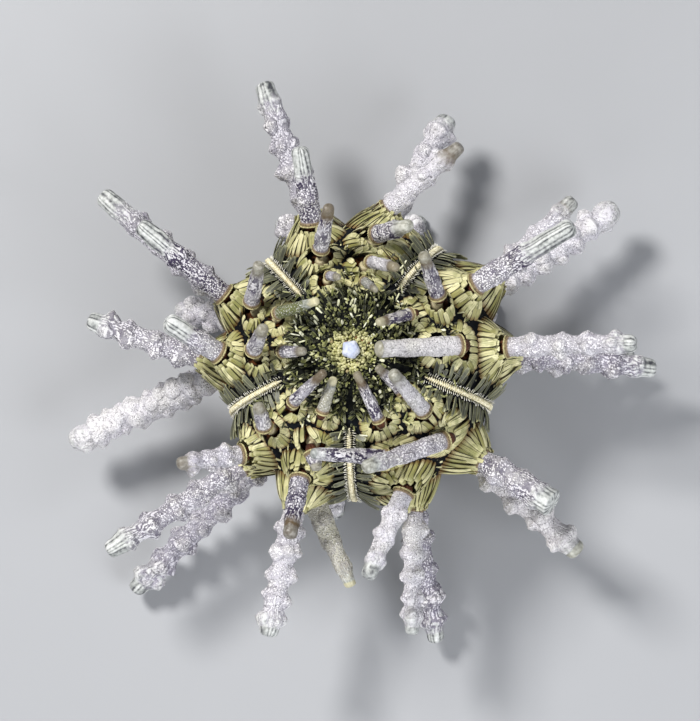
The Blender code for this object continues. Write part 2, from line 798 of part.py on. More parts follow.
def paint(node, colour_name):
    material = bpy.data.materials.get(colour_name)
    if material is None:
        material = bpy.data.materials.new(colour_name)
        material.use_nodes = True
        colour, roughness = COLOURS[colour_name]
        shader = material.node_tree.nodes["Principled BSDF"]
        shader.inputs["Base Color"].default_value = (*colour, 1.0)
        shader.inputs["Roughness"].default_value = roughness
    node.data.materials.clear()
    node.data.materials.append(material)


def main():
    for thing in list(bpy.data.objects):
        bpy.data.objects.remove(thing)
    spines = all_spines()
    draw = random.Random(SEED + 1)
    crowd = Crowd()
    for spine in spines:
        crowd.add(spine.node, spine.foot, spine.joint, spine.radius)
        crowd.add(spine.node, spine.joint, spine.tip, spine.radius * (1.0 + KNOB_SHARE))
    nodes = []

    def keep(node, colour_name):
        paint(node, colour_name)
        nodes.append(node)

    for zone in range(ZONES):
        for column in range(2):
            pieces = []
            for spine in spines:
                if spine.zone_column == (zone, column):
                    pieces.append(spine.mesh())
                    pieces += socket_blades(spine, crowd, draw)
            keep(fused(column_name(zone, column), column_wedge(zone, column), pieces), "spine_zone")
        blades = foot_zone_blades(zone, crowd, draw)
        keep(fused(foot_zone_name(zone), foot_zone_wedge(zone), blades), "foot_zone")
    keep(fused("apical_disc", apical_disc(), disc_blades(crowd, draw)), "apical_disc")
    keep(fused("periproct", periproct(), []), "periproct")
    keep(fused("anal_nub", anal_nub(), []), "anal_nub")
    keep(fused("peristome", peristome(), []), "peristome")
    base, pieces = teeth()
    keep(fused("teeth", base, pieces), "teeth")
    settle(nodes)


if __name__ == "__main__":
    main()
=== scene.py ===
import math
import random

import bmesh
import bpy
import numpy as np
from mathutils import Matrix, Vector


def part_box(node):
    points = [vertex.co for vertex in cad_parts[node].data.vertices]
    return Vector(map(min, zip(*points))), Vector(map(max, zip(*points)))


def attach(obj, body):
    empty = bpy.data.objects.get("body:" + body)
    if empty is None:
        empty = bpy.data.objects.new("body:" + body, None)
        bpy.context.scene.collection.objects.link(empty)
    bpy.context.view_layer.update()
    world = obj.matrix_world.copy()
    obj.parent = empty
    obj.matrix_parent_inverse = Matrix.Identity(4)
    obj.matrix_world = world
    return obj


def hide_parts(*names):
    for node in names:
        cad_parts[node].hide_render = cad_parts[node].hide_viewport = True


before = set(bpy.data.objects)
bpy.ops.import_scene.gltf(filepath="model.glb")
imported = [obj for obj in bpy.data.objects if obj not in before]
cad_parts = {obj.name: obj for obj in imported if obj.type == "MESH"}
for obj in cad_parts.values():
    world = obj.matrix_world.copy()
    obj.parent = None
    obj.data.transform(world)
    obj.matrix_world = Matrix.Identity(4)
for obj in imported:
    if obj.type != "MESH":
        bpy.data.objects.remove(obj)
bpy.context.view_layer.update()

# Shapes are worked out in millimetres about the shell's axis, with the floor at zero, and
# each finished mesh is then put in the frame. The nub stands on the axis.
mm = 0.001
up = np.array([0.0, 0.0, 1.0])
nubLow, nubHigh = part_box("anal_nub")
axis = (nubLow + nubHigh) / 2.0
toFrame = Matrix.Translation((axis.x, axis.y, 0.0)) @ Matrix.Scale(mm, 4)

shell = dict(
    radius=20.0,
    halfHeight=12.5,
    centre=19.6,
    discPolar=26.0,
    mouthPolar=156.0,
    zones=5,
    footZones=(54.0, 132.0, 201.5, 267.5, 340.0),
    footBand=7.0,
    columns=((3.5, 30.0), (82.0, 109.0), (155.0, 180.0), (221.0, 245.0), (291.5, 319.5)),
)
zoneLetters = "ab"


# Directions and places on the shell, for one angle or an array of them
def unit(vectors):
    return vectors / np.maximum(np.linalg.norm(vectors, axis=-1, keepdims=True), 1e-9)


def spread(values):
    return np.expand_dims(np.asarray(values, float), -1)


def rise(values, start, width):  # 0 up to start, then evenly up to 1 over this width
    return np.clip((values - start) / width, 0.0, 1.0)


def signedPower(values, power):
    return np.sign(values) * np.abs(values) ** power


def heading(azimuth):
    turn = np.radians(azimuth)
    return np.stack([np.cos(turn), np.sin(turn), np.zeros_like(turn)], axis=-1)


def aim(azimuth, lift):
    turn = np.radians(lift)
    return heading(azimuth) * spread(np.cos(turn)) + up * spread(np.sin(turn))


def turnFrom(middle, azimuth):  # degrees from middle to azimuth, the short way round
    return (azimuth - middle + 180.0) % 360.0 - 180.0


def rimAt(polar):  # the shell's radius there
    return shell["radius"] * np.sin(np.radians(polar))


def onShell(polar, azimuth):  # the point there, and the way that the shell faces
    out = heading(azimuth)
    radius = spread(rimAt(polar))
    height = spread(shell["halfHeight"] * np.cos(np.radians(polar)))
    normal = unit(out * radius / shell["radius"] ** 2 + up * height / shell["halfHeight"] ** 2)
    return out * radius + up * (height + shell["centre"]), normal


def shellMap(polar, azimuth):
    return np.stack([np.mod(azimuth, 360.0) / 360.0, 1.0 - np.asarray(polar) / 180.0], axis=-1)


def shellSpot(polar, azimuth):  # point, normal and place on the map
    return (*onShell(polar, azimuth), shellMap(polar, azimuth))


# How far down the shell each polar angle is, from the disc's edge
polarLast = 175.0
polarStep = 0.05
polarStops = np.arange(shell["discPolar"], polarLast, polarStep)
runStops = np.cumsum(
    np.hypot(
        shell["radius"] * np.cos(np.radians(polarStops)),
        shell["halfHeight"] * np.sin(np.radians(polarStops)),
    )
    * math.radians(polarStep)
)
mouthRun = float(np.interp(shell["mouthPolar"], polarStops, runStops))


def polarAt(run):
    return np.interp(run, runStops, polarStops)


# Meshes as arrays of points
def newMesh(bm):
    mesh = bpy.data.meshes.new("shape")
    bm.to_mesh(mesh)
    bm.free()
    mesh.shade_smooth()
    return mesh


def getPoints(mesh):
    flat = np.empty(len(mesh.vertices) * 3)
    mesh.vertices.foreach_get("co", flat)
    return flat.reshape(-1, 3)


def setPoints(mesh, points):
    mesh.vertices.foreach_set("co", np.ascontiguousarray(points, dtype=np.float32).ravel())
    mesh.update()


def setMap(mesh, uv, wrap):
    owner = np.empty(len(mesh.loops), np.int32)
    mesh.loops.foreach_get("vertex_index", owner)
    first = np.empty(len(mesh.polygons), np.int32)
    mesh.polygons.foreach_get("loop_start", first)
    spots = np.reshape(uv, (-1, 2))[owner]
    if wrap:
        sizes = np.diff(np.append(first, len(owner)))
        furthest = np.repeat(np.maximum.reduceat(spots[:, 0], first), sizes)
        spots[:, 0] += np.where(furthest - spots[:, 0] > wrap / 2.0, wrap, 0.0)
    layer = mesh.uv_layers.new(name="OFBake")
    layer.data.foreach_set("uv", np.ascontiguousarray(spots, dtype=np.float32).ravel())


def dressed(mesh, points, uv=None, wrap=0.0, **values):
    # uv holds one place on the map for each point, and wrap is the width of a full turn there
    setPoints(mesh, points)
    for name, numbers in values.items():
        layer = mesh.attributes.new(name, "FLOAT", "POINT")
        layer.data.foreach_set("value", np.ascontiguousarray(numbers, dtype=np.float32).ravel())
    if uv is not None:
        setMap(mesh, uv, wrap)
    return mesh


def joined(parts, wrap=0.0):  # one mesh of many, each given with its points, map and values
    bm = bmesh.new()
    for mesh, _ in parts:
        bm.from_mesh(mesh)
        bpy.data.meshes.remove(mesh)
    whole = {key: np.concatenate([shape[key] for _, shape in parts]) for key in parts[0][1]}
    return dressed(newMesh(bm), wrap=wrap, **whole)


def repeated(template, count):  # one mesh of this many copies, one after the other
    holder = bpy.data.objects.new("holder", template)
    bpy.context.scene.collection.objects.link(holder)
    array = holder.modifiers.new("copies", "ARRAY")
    array.count = count
    array.use_relative_offset = False
    graph = bpy.context.evaluated_depsgraph_get()
    mesh = bpy.data.meshes.new_from_object(holder.evaluated_get(graph))
    bpy.data.objects.remove(holder)
    return mesh


def placed(corner, feet, *directions):  # a shape's points at each foot, along three directions
    return np.expand_dims(feet, -2) + corner @ np.stack(directions, axis=-2)


def gather(rows):  # a list of dicts as one dict of arrays
    return {key: np.array([row[key] for row in rows]) for key in rows[0]}


# Plain shapes to work from
def tube(around, rings, top=1.0):
    bm = bmesh.new()
    bmesh.ops.create_cone(bm, cap_ends=True, segments=around, radius1=1.0, radius2=top, depth=1.0)
    if rings > 2:
        lengthwise = [edge for edge in bm.edges if abs(edge.verts[0].co.z - edge.verts[1].co.z) > 0.5]
        bmesh.ops.subdivide_edges(bm, edges=lengthwise, cuts=rings - 2)
    return newMesh(bm)


def slab(columns, rows):  # a grid with another grid one unit above it, and sides between them
    bm = bmesh.new()
    bmesh.ops.create_grid(bm, x_segments=columns, y_segments=rows, size=0.5)
    back = bmesh.ops.extrude_face_region(bm, geom=bm.faces[:], use_keep_orig=True)["geom"]
    back = [item for item in back if isinstance(item, bmesh.types.BMVert)]
    bmesh.ops.translate(bm, verts=back, vec=(0.0, 0.0, 1.0))
    bmesh.ops.recalc_face_normals(bm, faces=bm.faces)
    return newMesh(bm)


def ball(subdivisions):
    bm = bmesh.new()
    bmesh.ops.create_icosphere(bm, subdivisions=subdivisions, radius=1.0)
    return newMesh(bm)


def spun(outline, segments):  # a closed turned solid from (radius, height) points
    bm = bmesh.new()
    points = [bm.verts.new((radius, 0.0, height)) for radius, height in outline]
    edges = [bm.edges.new(pair) for pair in zip(points, points[1:])]
    bmesh.ops.spin(
        bm,
        geom=points + edges,
        axis=(0.0, 0.0, 1.0),
        cent=(0.0, 0.0, 0.0),
        steps=segments,
        angle=2.0 * math.pi,
        use_merge=True,
    )
    bmesh.ops.remove_doubles(bm, verts=bm.verts, dist=1e-4)
    bmesh.ops.recalc_face_normals(bm, faces=bm.faces)
    return newMesh(bm)


def piece(name, mesh, finish, slot, *nodes):  # it takes the place of these nodes
    mesh.name = name
    mesh.transform(toFrame)
    mesh.materials.clear()
    mesh.materials.append(finish)
    thing = bpy.data.objects.new(name, mesh)
    bpy.context.scene.collection.objects.link(thing)
    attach(thing, "root")
    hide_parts(*nodes)


# Shaders: a colour is given as red, green and blue on a screen
def paint(*parts):  # a screen colour as the shader takes it
    return (*[((part / 255.0 + 0.055) / 1.055) ** 2.4 for part in parts], 1.0)


class Value:
    def __init__(self, finish, socket):
        self.finish = finish
        self.socket = socket

    def combine(self, operation, *values):
        return self.finish.add("ShaderNodeMath", {"operation": operation}, dict(enumerate(values)))

    def __add__(self, other):
        return self.combine("ADD", self, other)

    def __sub__(self, other):
        return self.combine("SUBTRACT", self, other)

    def __rsub__(self, other):
        return self.combine("SUBTRACT", other, self)

    def __mul__(self, other):
        return self.combine("MULTIPLY", self, other)

    __radd__ = __add__
    __rmul__ = __mul__

    def sine(self):
        return self.combine("SINE", self)

    def between(self, low, high):  # 0 below low, 1 above high, smooth in between
        sockets = {"Value": self, "From Min": low, "From Max": high}
        return self.finish.add("ShaderNodeMapRange", {"interpolation_type": "SMOOTHSTEP"}, sockets)


class Finish:
    def __init__(self, name, roughness, specular=0.5):
        self.material = bpy.data.materials.new(name)
        self.material.use_nodes = True
        self.tree = self.material.node_tree
        self.inputs = self.tree.nodes["Principled BSDF"].inputs
        self.inputs["Roughness"].default_value = roughness
        self.inputs["Specular IOR Level"].default_value = specular
        self.place = self.add("ShaderNodeTexCoord", {}, {}, "Object")

    def add(self, kind, settings, sockets, out=0):
        node = self.tree.nodes.new(kind)
        for name, value in settings.items():
            setattr(node, name, value)
        for name, value in sockets.items():
            self.feed(node.inputs[name], value)
        return Value(self, node.outputs[out])

    def feed(self, socket, value):
        if isinstance(value, Value):
            self.tree.links.new(value.socket, socket)
        else:
            socket.default_value = paint(*value) if isinstance(value, tuple) else value

    def attribute(self, name):
        return self.add("ShaderNodeAttribute", {"attribute_name": name}, {}, "Fac")

    def noise(self, size, detail=2.0):  # size of a patch in millimetres
        sockets = {"Vector": self.place, "Scale": 1.0 / (size * mm), "Detail": detail}
        return self.add("ShaderNodeTexNoise", {}, sockets)

    def cells(self, size):
        sockets = {"Vector": self.place, "Scale": 1.0 / (size * mm)}
        return self.add("ShaderNodeTexVoronoi", {}, sockets, "Distance")

    def mix(self, share, first, second):
        return self.add("ShaderNodeMix", {"data_type": "RGBA"}, {0: share, 6: first, 7: second}, 2)

    def layers(self, colour, *coats):  # each coat is how much of it shows, and its colour
        for share, coat in coats:
            colour = self.mix(share, colour, coat)
        return colour

    def ramp(self, value, *stops):
        shade = self.add("ShaderNodeValToRGB", {}, {"Fac": value})
        elements = shade.socket.node.color_ramp.elements
        while len(elements) < len(stops):
            elements.new(0.5)
        for element, (place, colour) in zip(elements, stops):
            element.position = place
            element.color = paint(*colour)
        return shade

    def done(self, colour, height, depth, strength):  # depth of the relief in millimetres
        relief = {"Height": height, "Distance": depth * mm, "Strength": strength}
        self.feed(self.inputs["Base Color"], colour)
        self.feed(self.inputs["Normal"], self.add("ShaderNodeBump", {}, relief))
        return self.material


# The long spines: the same rows, directions and lengths as the solids
spines = dict(
    radius=(0.85, 1.1, 1.4, 1.4, 1.45, 1.3, 0.85),
    lift=(62, 48, 26, 4, -14, -56, -66),
    length=(6.5, 8.5, 14.0, 22.0, 24.0, 0.0, 0.0),
    socketHeight=1.2,
    footRow=5,
    mouthRow=6,
    mouthTipHeight=1.4,
    azimuthVaries=6.0,
    liftVaries=3.0,
    lengthVaries=1.5,
    seed=7,
)
columnRows = {  # the sockets down each column, as distances along the shell from the disc's edge
    "1a": (3.4, 7.6, 13.3, 19.4, 25.3, 30.2, 33.5),
    "1b": (1.6, 5.4, 10.6, 16.4, 22.4, 28.0, 32.4),
    "2a": (1.2, 4.1, 8.8, 15.2, 21.8, 27.8, 32.4),
    "2b": (2.4, 6.1, 11.4, 18.2, 24.8, 30.0, 33.5),
    "3a": (3.6, 7.8, 12.9, 19.2, 25.3, 30.2, 33.5),
    "3b": (1.6, 5.6, 10.6, 16.4, 22.4, 28.0, 32.4),
    "4a": (2.9, 8.2, 13.9, 19.6, 25.3, 30.2, 33.5),
    "4b": (1.5, 5.6, 10.0, 16.2, 22.3, 28.0, 32.4),
    "5a": (2.6, 7.4, 12.5, 19.0, 25.3, 30.2, 33.5),
    "5b": (1.4, 5.0, 10.2, 16.4, 22.4, 28.0, 32.4),
}
shownSpines = {  # azimuth, lift and length by the column and the row
    ("1a", 1): (187, 31, 14.5),
    ("1a", 2): (0, 15, 20.5),
    ("1a", 3): (356, -12, 22.5),
    ("1b", 0): (202, 42, 7.5),
    ("1b", 1): (107, 55, 10.0),
    ("1b", 2): (27, 22, 18.5),
    ("1b", 3): (42, 10, 18.0),
    ("1b", 4): (34, -12, 25.5),
    ("2a", 0): (316, 60, 7.5),
    ("2a", 1): (339, 50, 8.5),
    ("2a", 2): (0, 50, 9.5),
    ("2a", 3): (37, 20, 16.5),
    ("2a", 4): (63, -14, 21.5),
    ("2a", 5): (60, -43, 0.0),
    ("2b", 0): (340, 60, 5.0),
    ("2b", 1): (66, 55, 10.5),
    ("2b", 2): (95, 30, 13.0),
    ("2b", 3): (110, 3, 23.0),
    ("2b", 4): (139, -42, 14.5),
    ("3a", 0): (7, 45, 10.5),
    ("3a", 1): (61, 60, 10.5),
    ("3a", 2): (141, 22, 17.5),
    ("3a", 3): (140, 2, 26.0),
    ("3a", 4): (167, -33, 17.0),
    ("3b", 0): (352, 45, 6.5),
    ("3b", 1): (42, 65, 9.0),
    ("3b", 2): (151, 35, 11.0),
    ("3b", 3): (162, 8, 19.5),
    ("3b", 4): (202, -10, 27.5),
    ("4a", 0): (36, 44, 10.0),
    ("4a", 1): (96, 60, 6.5),
    ("4a", 2): (193, 30, 11.5),
    ("4a", 3): (213, 5, 25.5),
    ("4a", 4): (223, -15, 32.0),
    ("4b", 0): (67, 34, 7.0),
    ("4b", 1): (287, 15, 4.0),
    ("4b", 2): (264, 30, 11.5),
    ("4b", 3): (258, 0, 21.0),
    ("4b", 4): (292, -5, 16.0),
    ("4b", 5): (276, -53, 0.0),
    ("5a", 0): (114, 35, 9.5),
    ("5a", 1): (179, 23, 12.5),
    ("5a", 2): (248, 20, 15.5),
    ("5a", 3): (268, 2, 20.0),
    ("5a", 4): (279, -18, 25.5),
    ("5b", 0): (134, 24, 6.5),
    ("5b", 1): (132, 58, 12.0),
    ("5b", 2): (204, 33, 15.5),
    ("5b", 3): (328, 15, 14.5),
    ("5b", 4): (318, -8, 22.5),
}
missingSpines = {("1a", 0)}


def columnPlate(zone, column):  # middle and half width, in degrees, of the ground of a column
    suture = sum(shell["columns"][zone]) / 2.0
    if column:
        edge = shell["footZones"][zone] - shell["footBand"]
    else:
        edge = shell["footZones"][zone - 1] + shell["footBand"] - (0.0 if zone else 360.0)
    return (suture + edge) / 2.0, abs(suture - edge) / 2.0


def rowPlate(rows, row):  # middle and half length of the ground of a row
    before = rows[row] - rows[row - 1] if row else 2.0 * (rows[0] - socket["end"])
    after = rows[row + 1] - rows[row] if row + 1 < len(rows) else before
    before = min(before, socket["uneven"] * after)
    after = min(after, socket["uneven"] * before)
    return rows[row] + (after - before) / 4.0, (after + before) / 4.0


def allSpines():
    draw = random.Random(spines["seed"])
    found = []
    for zone in range(shell["zones"]):
        for column in range(2):
            name = f"{zone + 1}{zoneLetters[column]}"
            azimuth = shell["columns"][zone][column]
            rows = columnRows[name]
            plateAzimuth, plateTurn = columnPlate(zone, column)
            for row, along in enumerate(rows):
                varied = (
                    azimuth + draw.uniform(-spines["azimuthVaries"], spines["azimuthVaries"]),
                    spines["lift"][row] + draw.uniform(-spines["liftVaries"], spines["liftVaries"]),
                    spines["length"][row] + draw.uniform(-spines["lengthVaries"], spines["lengthVaries"]),
                )
                turn, lift, length = shownSpines.get((name, row), varied)
                foot, normal, spot = shellSpot(polarAt(along), azimuth)
                joint = foot + normal * spines["socketHeight"]
                direction = aim(turn, lift)
                if row == spines["footRow"]:
                    length = -joint[2] / direction[2]
                if row == spines["mouthRow"]:
                    length = (spines["mouthTipHeight"] - joint[2]) / direction[2]
                length = float(length)
                found.append(
                    dict(
                        column=name,
                        row=row,
                        azimuth=azimuth,
                        foot=foot,
                        normal=normal,
                        spot=spot,
                        joint=joint,
                        direction=direction,
                        length=length,
                        ringAt=min(shaft["ringAt"][row], length * 0.5),
                        radius=spines["radius"][row],
                        missing=(name, row) in missingSpines,
                        plate=(plateAzimuth, plateTurn, *rowPlate(rows, row)),
                    )
                )
    return found


socket = dict(
    edge=0.3,
    corner=2.9,  # 2 would set the roots round an ellipse, more brings them into the corners
    zigzag=0.55,  # how far the plates of the two columns reach between each other
    zigzagShare=0.2,  # and no more than this share of half their width
    uneven=1.7,  # how much further a plate may reach on one side of its spine
    length=(2.4, 3.0, 3.9, 4.9, 5.2, 4.8, 3.0),  # longest
    past=(-0.1, 0.0, 0.2, 0.8, 1.0, 0.8, 0.0),  # how far the tips rise along the shaft
    shortest=1.2,
    reach=(0.75, 0.8, 0.9, 1.0, 1.0, 1.0, 0.9),  # how much of the way to the shaft
    pitch=(0.88, 0.88, 0.82, 0.72, 0.72, 0.78, 0.9),
    width=(0.95, 1.02, 1.0, 0.88, 0.88, 0.92, 0.9),
    thickness=0.2,
    sunk=0.2,  # how deep the roots are in the shell
    end=0.5,
    rise=0.24,
    backBy=0.35,  # every other blade ends this much lower on the shaft
    outBy=0.22,  # and its tip is this much further off
    clearOf=1.12,  # how far their tips are from its middle line, in half thicknesses
    slivers=5,
    sliverLength=(0.6, 1.3),
    sliverWidth=(0.25, 0.42),
    sliverThickness=0.12,
    seed=21,
)
shaft = dict(
    ringAt=(1.1, 1.2, 1.3, 1.8, 1.9, 1.8, 1.2),  # from the joint to the milled ring
    grainPitch=0.44,
    grainLength=(1.1, 0.95, 0.44, 0.44, 0.44, 0.44, 0.6),
    grainHeight=0.12,
    samples=4,  # points across a grain
    lengthSamples=3,
    whorlPitch=(0.0, 0.0, 4.2, 4.0, 4.1, 3.8, 0.0),
    whorlFrom=1.6,  # from the milled ring
    whorlTo=1.0,  # from the tip
    whorlLeast=6.0,  # length of the shortest spine that has whorls
    swellHeight=(0.0, 0.0, 0.35, 0.42, 0.48, 0.42, 0.0),
    swellLength=1.0,
    swellTilt=0.3,
    knobHeight=(0.0, 0.0, 0.6, 0.68, 0.8, 0.72, 0.0),
    knobLength=(0.0, 0.0, 1.05, 1.25, 1.45, 1.35, 0.0),
    knobWidth=0.8,  # against the length
    knobBelow=1.2,  # length below and above the knob's top
    knobAbove=0.8,
    knobScale=(0.6, 1.15),
    knobsLeftOut=0.22,
    knobsInWhorl=5,
    millTeeth=28,
    millDepth=0.03,
    waveDepth=0.04,
    sway=0.02,  # of the length
    dome=0.8,  # length of the rounded end, in half thicknesses
    domeRings=6,
)
stageAt = dict(  # from the socket, 0, to the tip, 1
    millFrom=0.15,
    millTo=0.3,
    grains=0.46,
    shaft=0.5,
    streaks=0.7,
    flutes=0.82,
    clear=0.85,
    end=0.98,
    dome=0.99,
)
neckProfile = (  # share of the way to the milled ring, thickness and stage
    (0.0, 0.55, 0.0),
    (0.45, 0.72, 0.04),
    (0.8, 0.84, 0.08),
)
ringProfile = (  # place from the milled ring, thickness and stage
    (-0.14, 0.98, 0.12),
    (-0.06, 1.18, 0.19),
    (0.05, 1.22, 0.23),
    (0.12, 1.15, 0.27),
    (0.3, 1.1, 0.35),
    (0.48, 1.04, 0.43),
    (0.66, 0.98, 0.5),
)
spineList = allSpines()
columnNames = list(columnRows)
print("spines laid out:", len(spineList))

spineColours = dict(  # how far each varies
    purple=0.2,
    white=0.1,
    streaks=0.1,
    olive=0.0,
    band=0.3,
    cream=0.2,
    brown=0.1,
)
plainLooks = dict(
    purple=0.8,  # how dark the gaps between the grains are: the spine's own purple, with painted shade in the grooves
    # white: how white the body is against lilac grey; lowered on a few low-lying spines as painted shade
    white=0.7,
    streaks=0.0,  # lengthwise streaks in place of grains
    olive=0.0,
    band=0.0,  # a brown band under the tip
    cream=0.0,  # how cream the end is
    brown=0.0,  # how brown the tip is
    thick=1.0,  # against the row's own thickness
    tip=0.9,  # thickness of the tip against the base
    knobs=0.0,
    crowd=1.0,  # how many whorls, against the usual
    ridges=0.0,  # how ridged the tip is
    clear=0.2,  # share of the length that is clear
    flat=0.0,  # how flat the end is
)
youngLooks = dict(purple=0.9, streaks=0.8, olive=0.1, cream=0.15)  # of the short ones by the disc
rowLooks = {
    0: youngLooks | dict(white=0.6, band=0.6, brown=0.5, tip=0.68, clear=0.22),
    1: youngLooks | dict(white=0.65, band=0.4, brown=0.4, tip=0.72, clear=0.2),
    2: dict(purple=0.9, white=0.75, thick=1.08, tip=0.84, knobs=0.35, ridges=1.0, clear=0.34),
    3: dict(purple=0.75, white=0.75, thick=1.06, tip=0.92, knobs=1.0, ridges=0.9, clear=0.1),
    4: dict(purple=0.5, white=0.85, thick=1.06, knobs=1.0, ridges=0.7, clear=0.07),
    5: dict(purple=0.4, white=0.95, thick=1.05, tip=0.88, knobs=1.0, ridges=0.5, clear=0.08),
    6: dict(purple=0.2, white=0.8, olive=0.1, tip=0.75, ridges=0.5),
}
oddLooks = {  # spines that differ from their row
    ("1a", 1): dict(
        purple=0.1, white=0.9, streaks=0.0, olive=0.05, band=0.0, cream=0.3, thick=1.25, tip=0.82, clear=0.05
    ),
    ("1a", 2): dict(purple=0.45, white=0.9, knobs=1.0, clear=0.08, thick=1.0, tip=0.85),
    # its low white is painted shade: this spine lies low, where less light falls
    ("1a", 3): dict(purple=0.7, white=0.4),
    ("1b", 0): dict(band=1.0, cream=0.5, brown=0.6),
    ("1b", 1): dict(brown=0.25, band=0.8),
    ("1b", 2): dict(thick=1.12, tip=0.8, clear=0.42),
    ("1b", 3): dict(white=0.85, purple=0.4, tip=0.75, band=0.4, ridges=0.4),
    ("1b", 4): dict(white=1.0, purple=0.2, tip=1.0, clear=0.0, crowd=1.3),
    ("2a", 0): dict(thick=0.72, olive=0.6, white=0.3, purple=0.2),
    ("2a", 1): dict(white=0.8, purple=0.4, brown=0.9, thick=0.78, tip=0.8),
    ("2a", 2): dict(thick=0.92, clear=0.3, band=0.2, cream=0.2, ridges=0.4, tip=0.75),
    ("2a", 3): dict(
        white=1.0, purple=0.25, tip=0.66, knobs=0.5, clear=0.16, band=0.6, brown=0.5, ridges=0.3
    ),
    ("2a", 4): dict(white=0.9, purple=0.25, tip=1.05, clear=0.05),
    ("2b", 0): dict(thick=0.8),
    ("2b", 1): dict(brown=0.9, band=0.8, cream=0.0),
    ("2b", 2): dict(tip=0.78, clear=0.3, knobs=0.5),
    # its low white is painted shade: this spine lies low, where less light falls
    ("2b", 3): dict(white=0.6, tip=0.95, clear=0.14),
    ("3a", 0): dict(purple=0.0, white=0.0, olive=1.0, band=0.0, brown=0.0, cream=1.0),
    ("3a", 2): dict(knobs=0.7, clear=0.3),
    ("3a", 3): dict(tip=0.95, clear=0.14),
    ("3a", 4): dict(white=0.7, purple=0.35, clear=0.0),
    ("3b", 4): dict(white=1.0, purple=0.15, knobs=0.9, crowd=1.7, thick=1.25, tip=0.8, clear=0.0),
    ("4a", 0): dict(band=0.8, cream=0.0, brown=0.9),
    ("4a", 2): dict(
        purple=0.5, white=0.6, knobs=1.3, crowd=1.6, clear=0.12, tip=0.68, brown=0.7, thick=0.95, ridges=0.3
    ),
    ("4a", 3): dict(clear=0.13),
    # its low white is painted shade: this spine lies low, where less light falls
    ("4a", 4): dict(purple=0.6, white=0.35, knobs=1.15),
    ("4b", 0): dict(purple=0.0, white=0.5, olive=0.6, band=0.0, brown=0.0, cream=0.8),
    ("4b", 2): dict(
        purple=1.2, white=0.5, streaks=0.5, thick=0.95, clear=0.2, band=0.8, brown=0.45, ridges=0.2, tip=0.75
    ),
    ("4b", 3): dict(white=0.9, purple=0.45, clear=0.06, crowd=1.2),
    ("4b", 4): dict(purple=0.0, white=0.9, olive=0.35, thick=1.15, tip=0.52, knobs=0.25, cream=0.8),
    ("5a", 0): dict(band=0.8, brown=0.8),
    ("5a", 1): dict(purple=1.1, band=0.0, cream=0.0, brown=0.0, white=0.8, clear=0.05),
    ("5a", 2): dict(purple=0.25, white=0.95, knobs=0.7, clear=0.14, ridges=0.1, thick=1.0, tip=0.75),
    ("5a", 3): dict(
        purple=0.35, white=1.0, tip=0.75, ridges=0.2, clear=0.05, crowd=1.2, thick=0.92, knobs=0.85
    ),
    # its low white is painted shade: this spine lies low, where less light falls
    ("5a", 4): dict(purple=0.65, white=0.3, thick=0.96),
    ("5b", 1): dict(
        purple=0.2, white=0.75, streaks=0.2, olive=0.1, band=0.4, brown=0.2, thick=1.05, clear=0.15
    ),
    ("5b", 2): dict(purple=0.6, white=0.55, clear=0.15, ridges=0.2, cream=0.15, thick=0.88),
    ("5b", 3): dict(
        purple=1.0, white=0.8, streaks=0.3, knobs=0.5, thick=1.2, tip=1.12, clear=0.14, flat=1.0
    ),
    ("5b", 4): dict(purple=0.2, white=0.9, tip=0.95, clear=0.06, cream=0.3, ridges=0.0),
}


def ringStops(spine, looks):  # place from the joint, thickness and stage of each ring of points
    ring = spine["ringAt"]
    stops = [(ring * place, thickness, stage) for place, thickness, stage in neckProfile]
    stops += [(ring + place, thickness, stage) for place, thickness, stage in ringProfile]
    start = stops[-1][0]
    dome = shaft["dome"] * spine["radius"] * looks["tip"] * (1.0 - 0.75 * looks["flat"])
    end = spine["length"] - dome
    count = max(3, round((end - start) / (shaft["grainPitch"] / shaft["lengthSamples"])))
    clearFrom = spine["length"] * (1.0 - looks["clear"])
    for step in range(1, count + 1):
        along = start + (end - start) * step / count
        share = step / count
        swell = 0.97 + 0.06 * math.sin(math.pi * min(share * 1.6, 1.0))
        thickness = swell + (looks["tip"] - swell) * share
        if along < clearFrom:
            low, high, past, room = stageAt["shaft"], stageAt["clear"], along - start, clearFrom - start
        else:
            low, high, past, room = stageAt["clear"], stageAt["end"], along - clearFrom, end - clearFrom
        stops.append((along, thickness, low + (high - low) * past / max(room, 0.1)))
    for step in range(1, shaft["domeRings"] + 1):
        turn = math.pi / 2.0 * step / shaft["domeRings"]
        thickness = looks["tip"] * max(math.cos(turn), 0.03) ** 0.6
        stage = stageAt["dome"] if looks["clear"] else stageAt["clear"]
        stops.append((end + dome * math.sin(turn), thickness, stage))
    return np.array(stops)


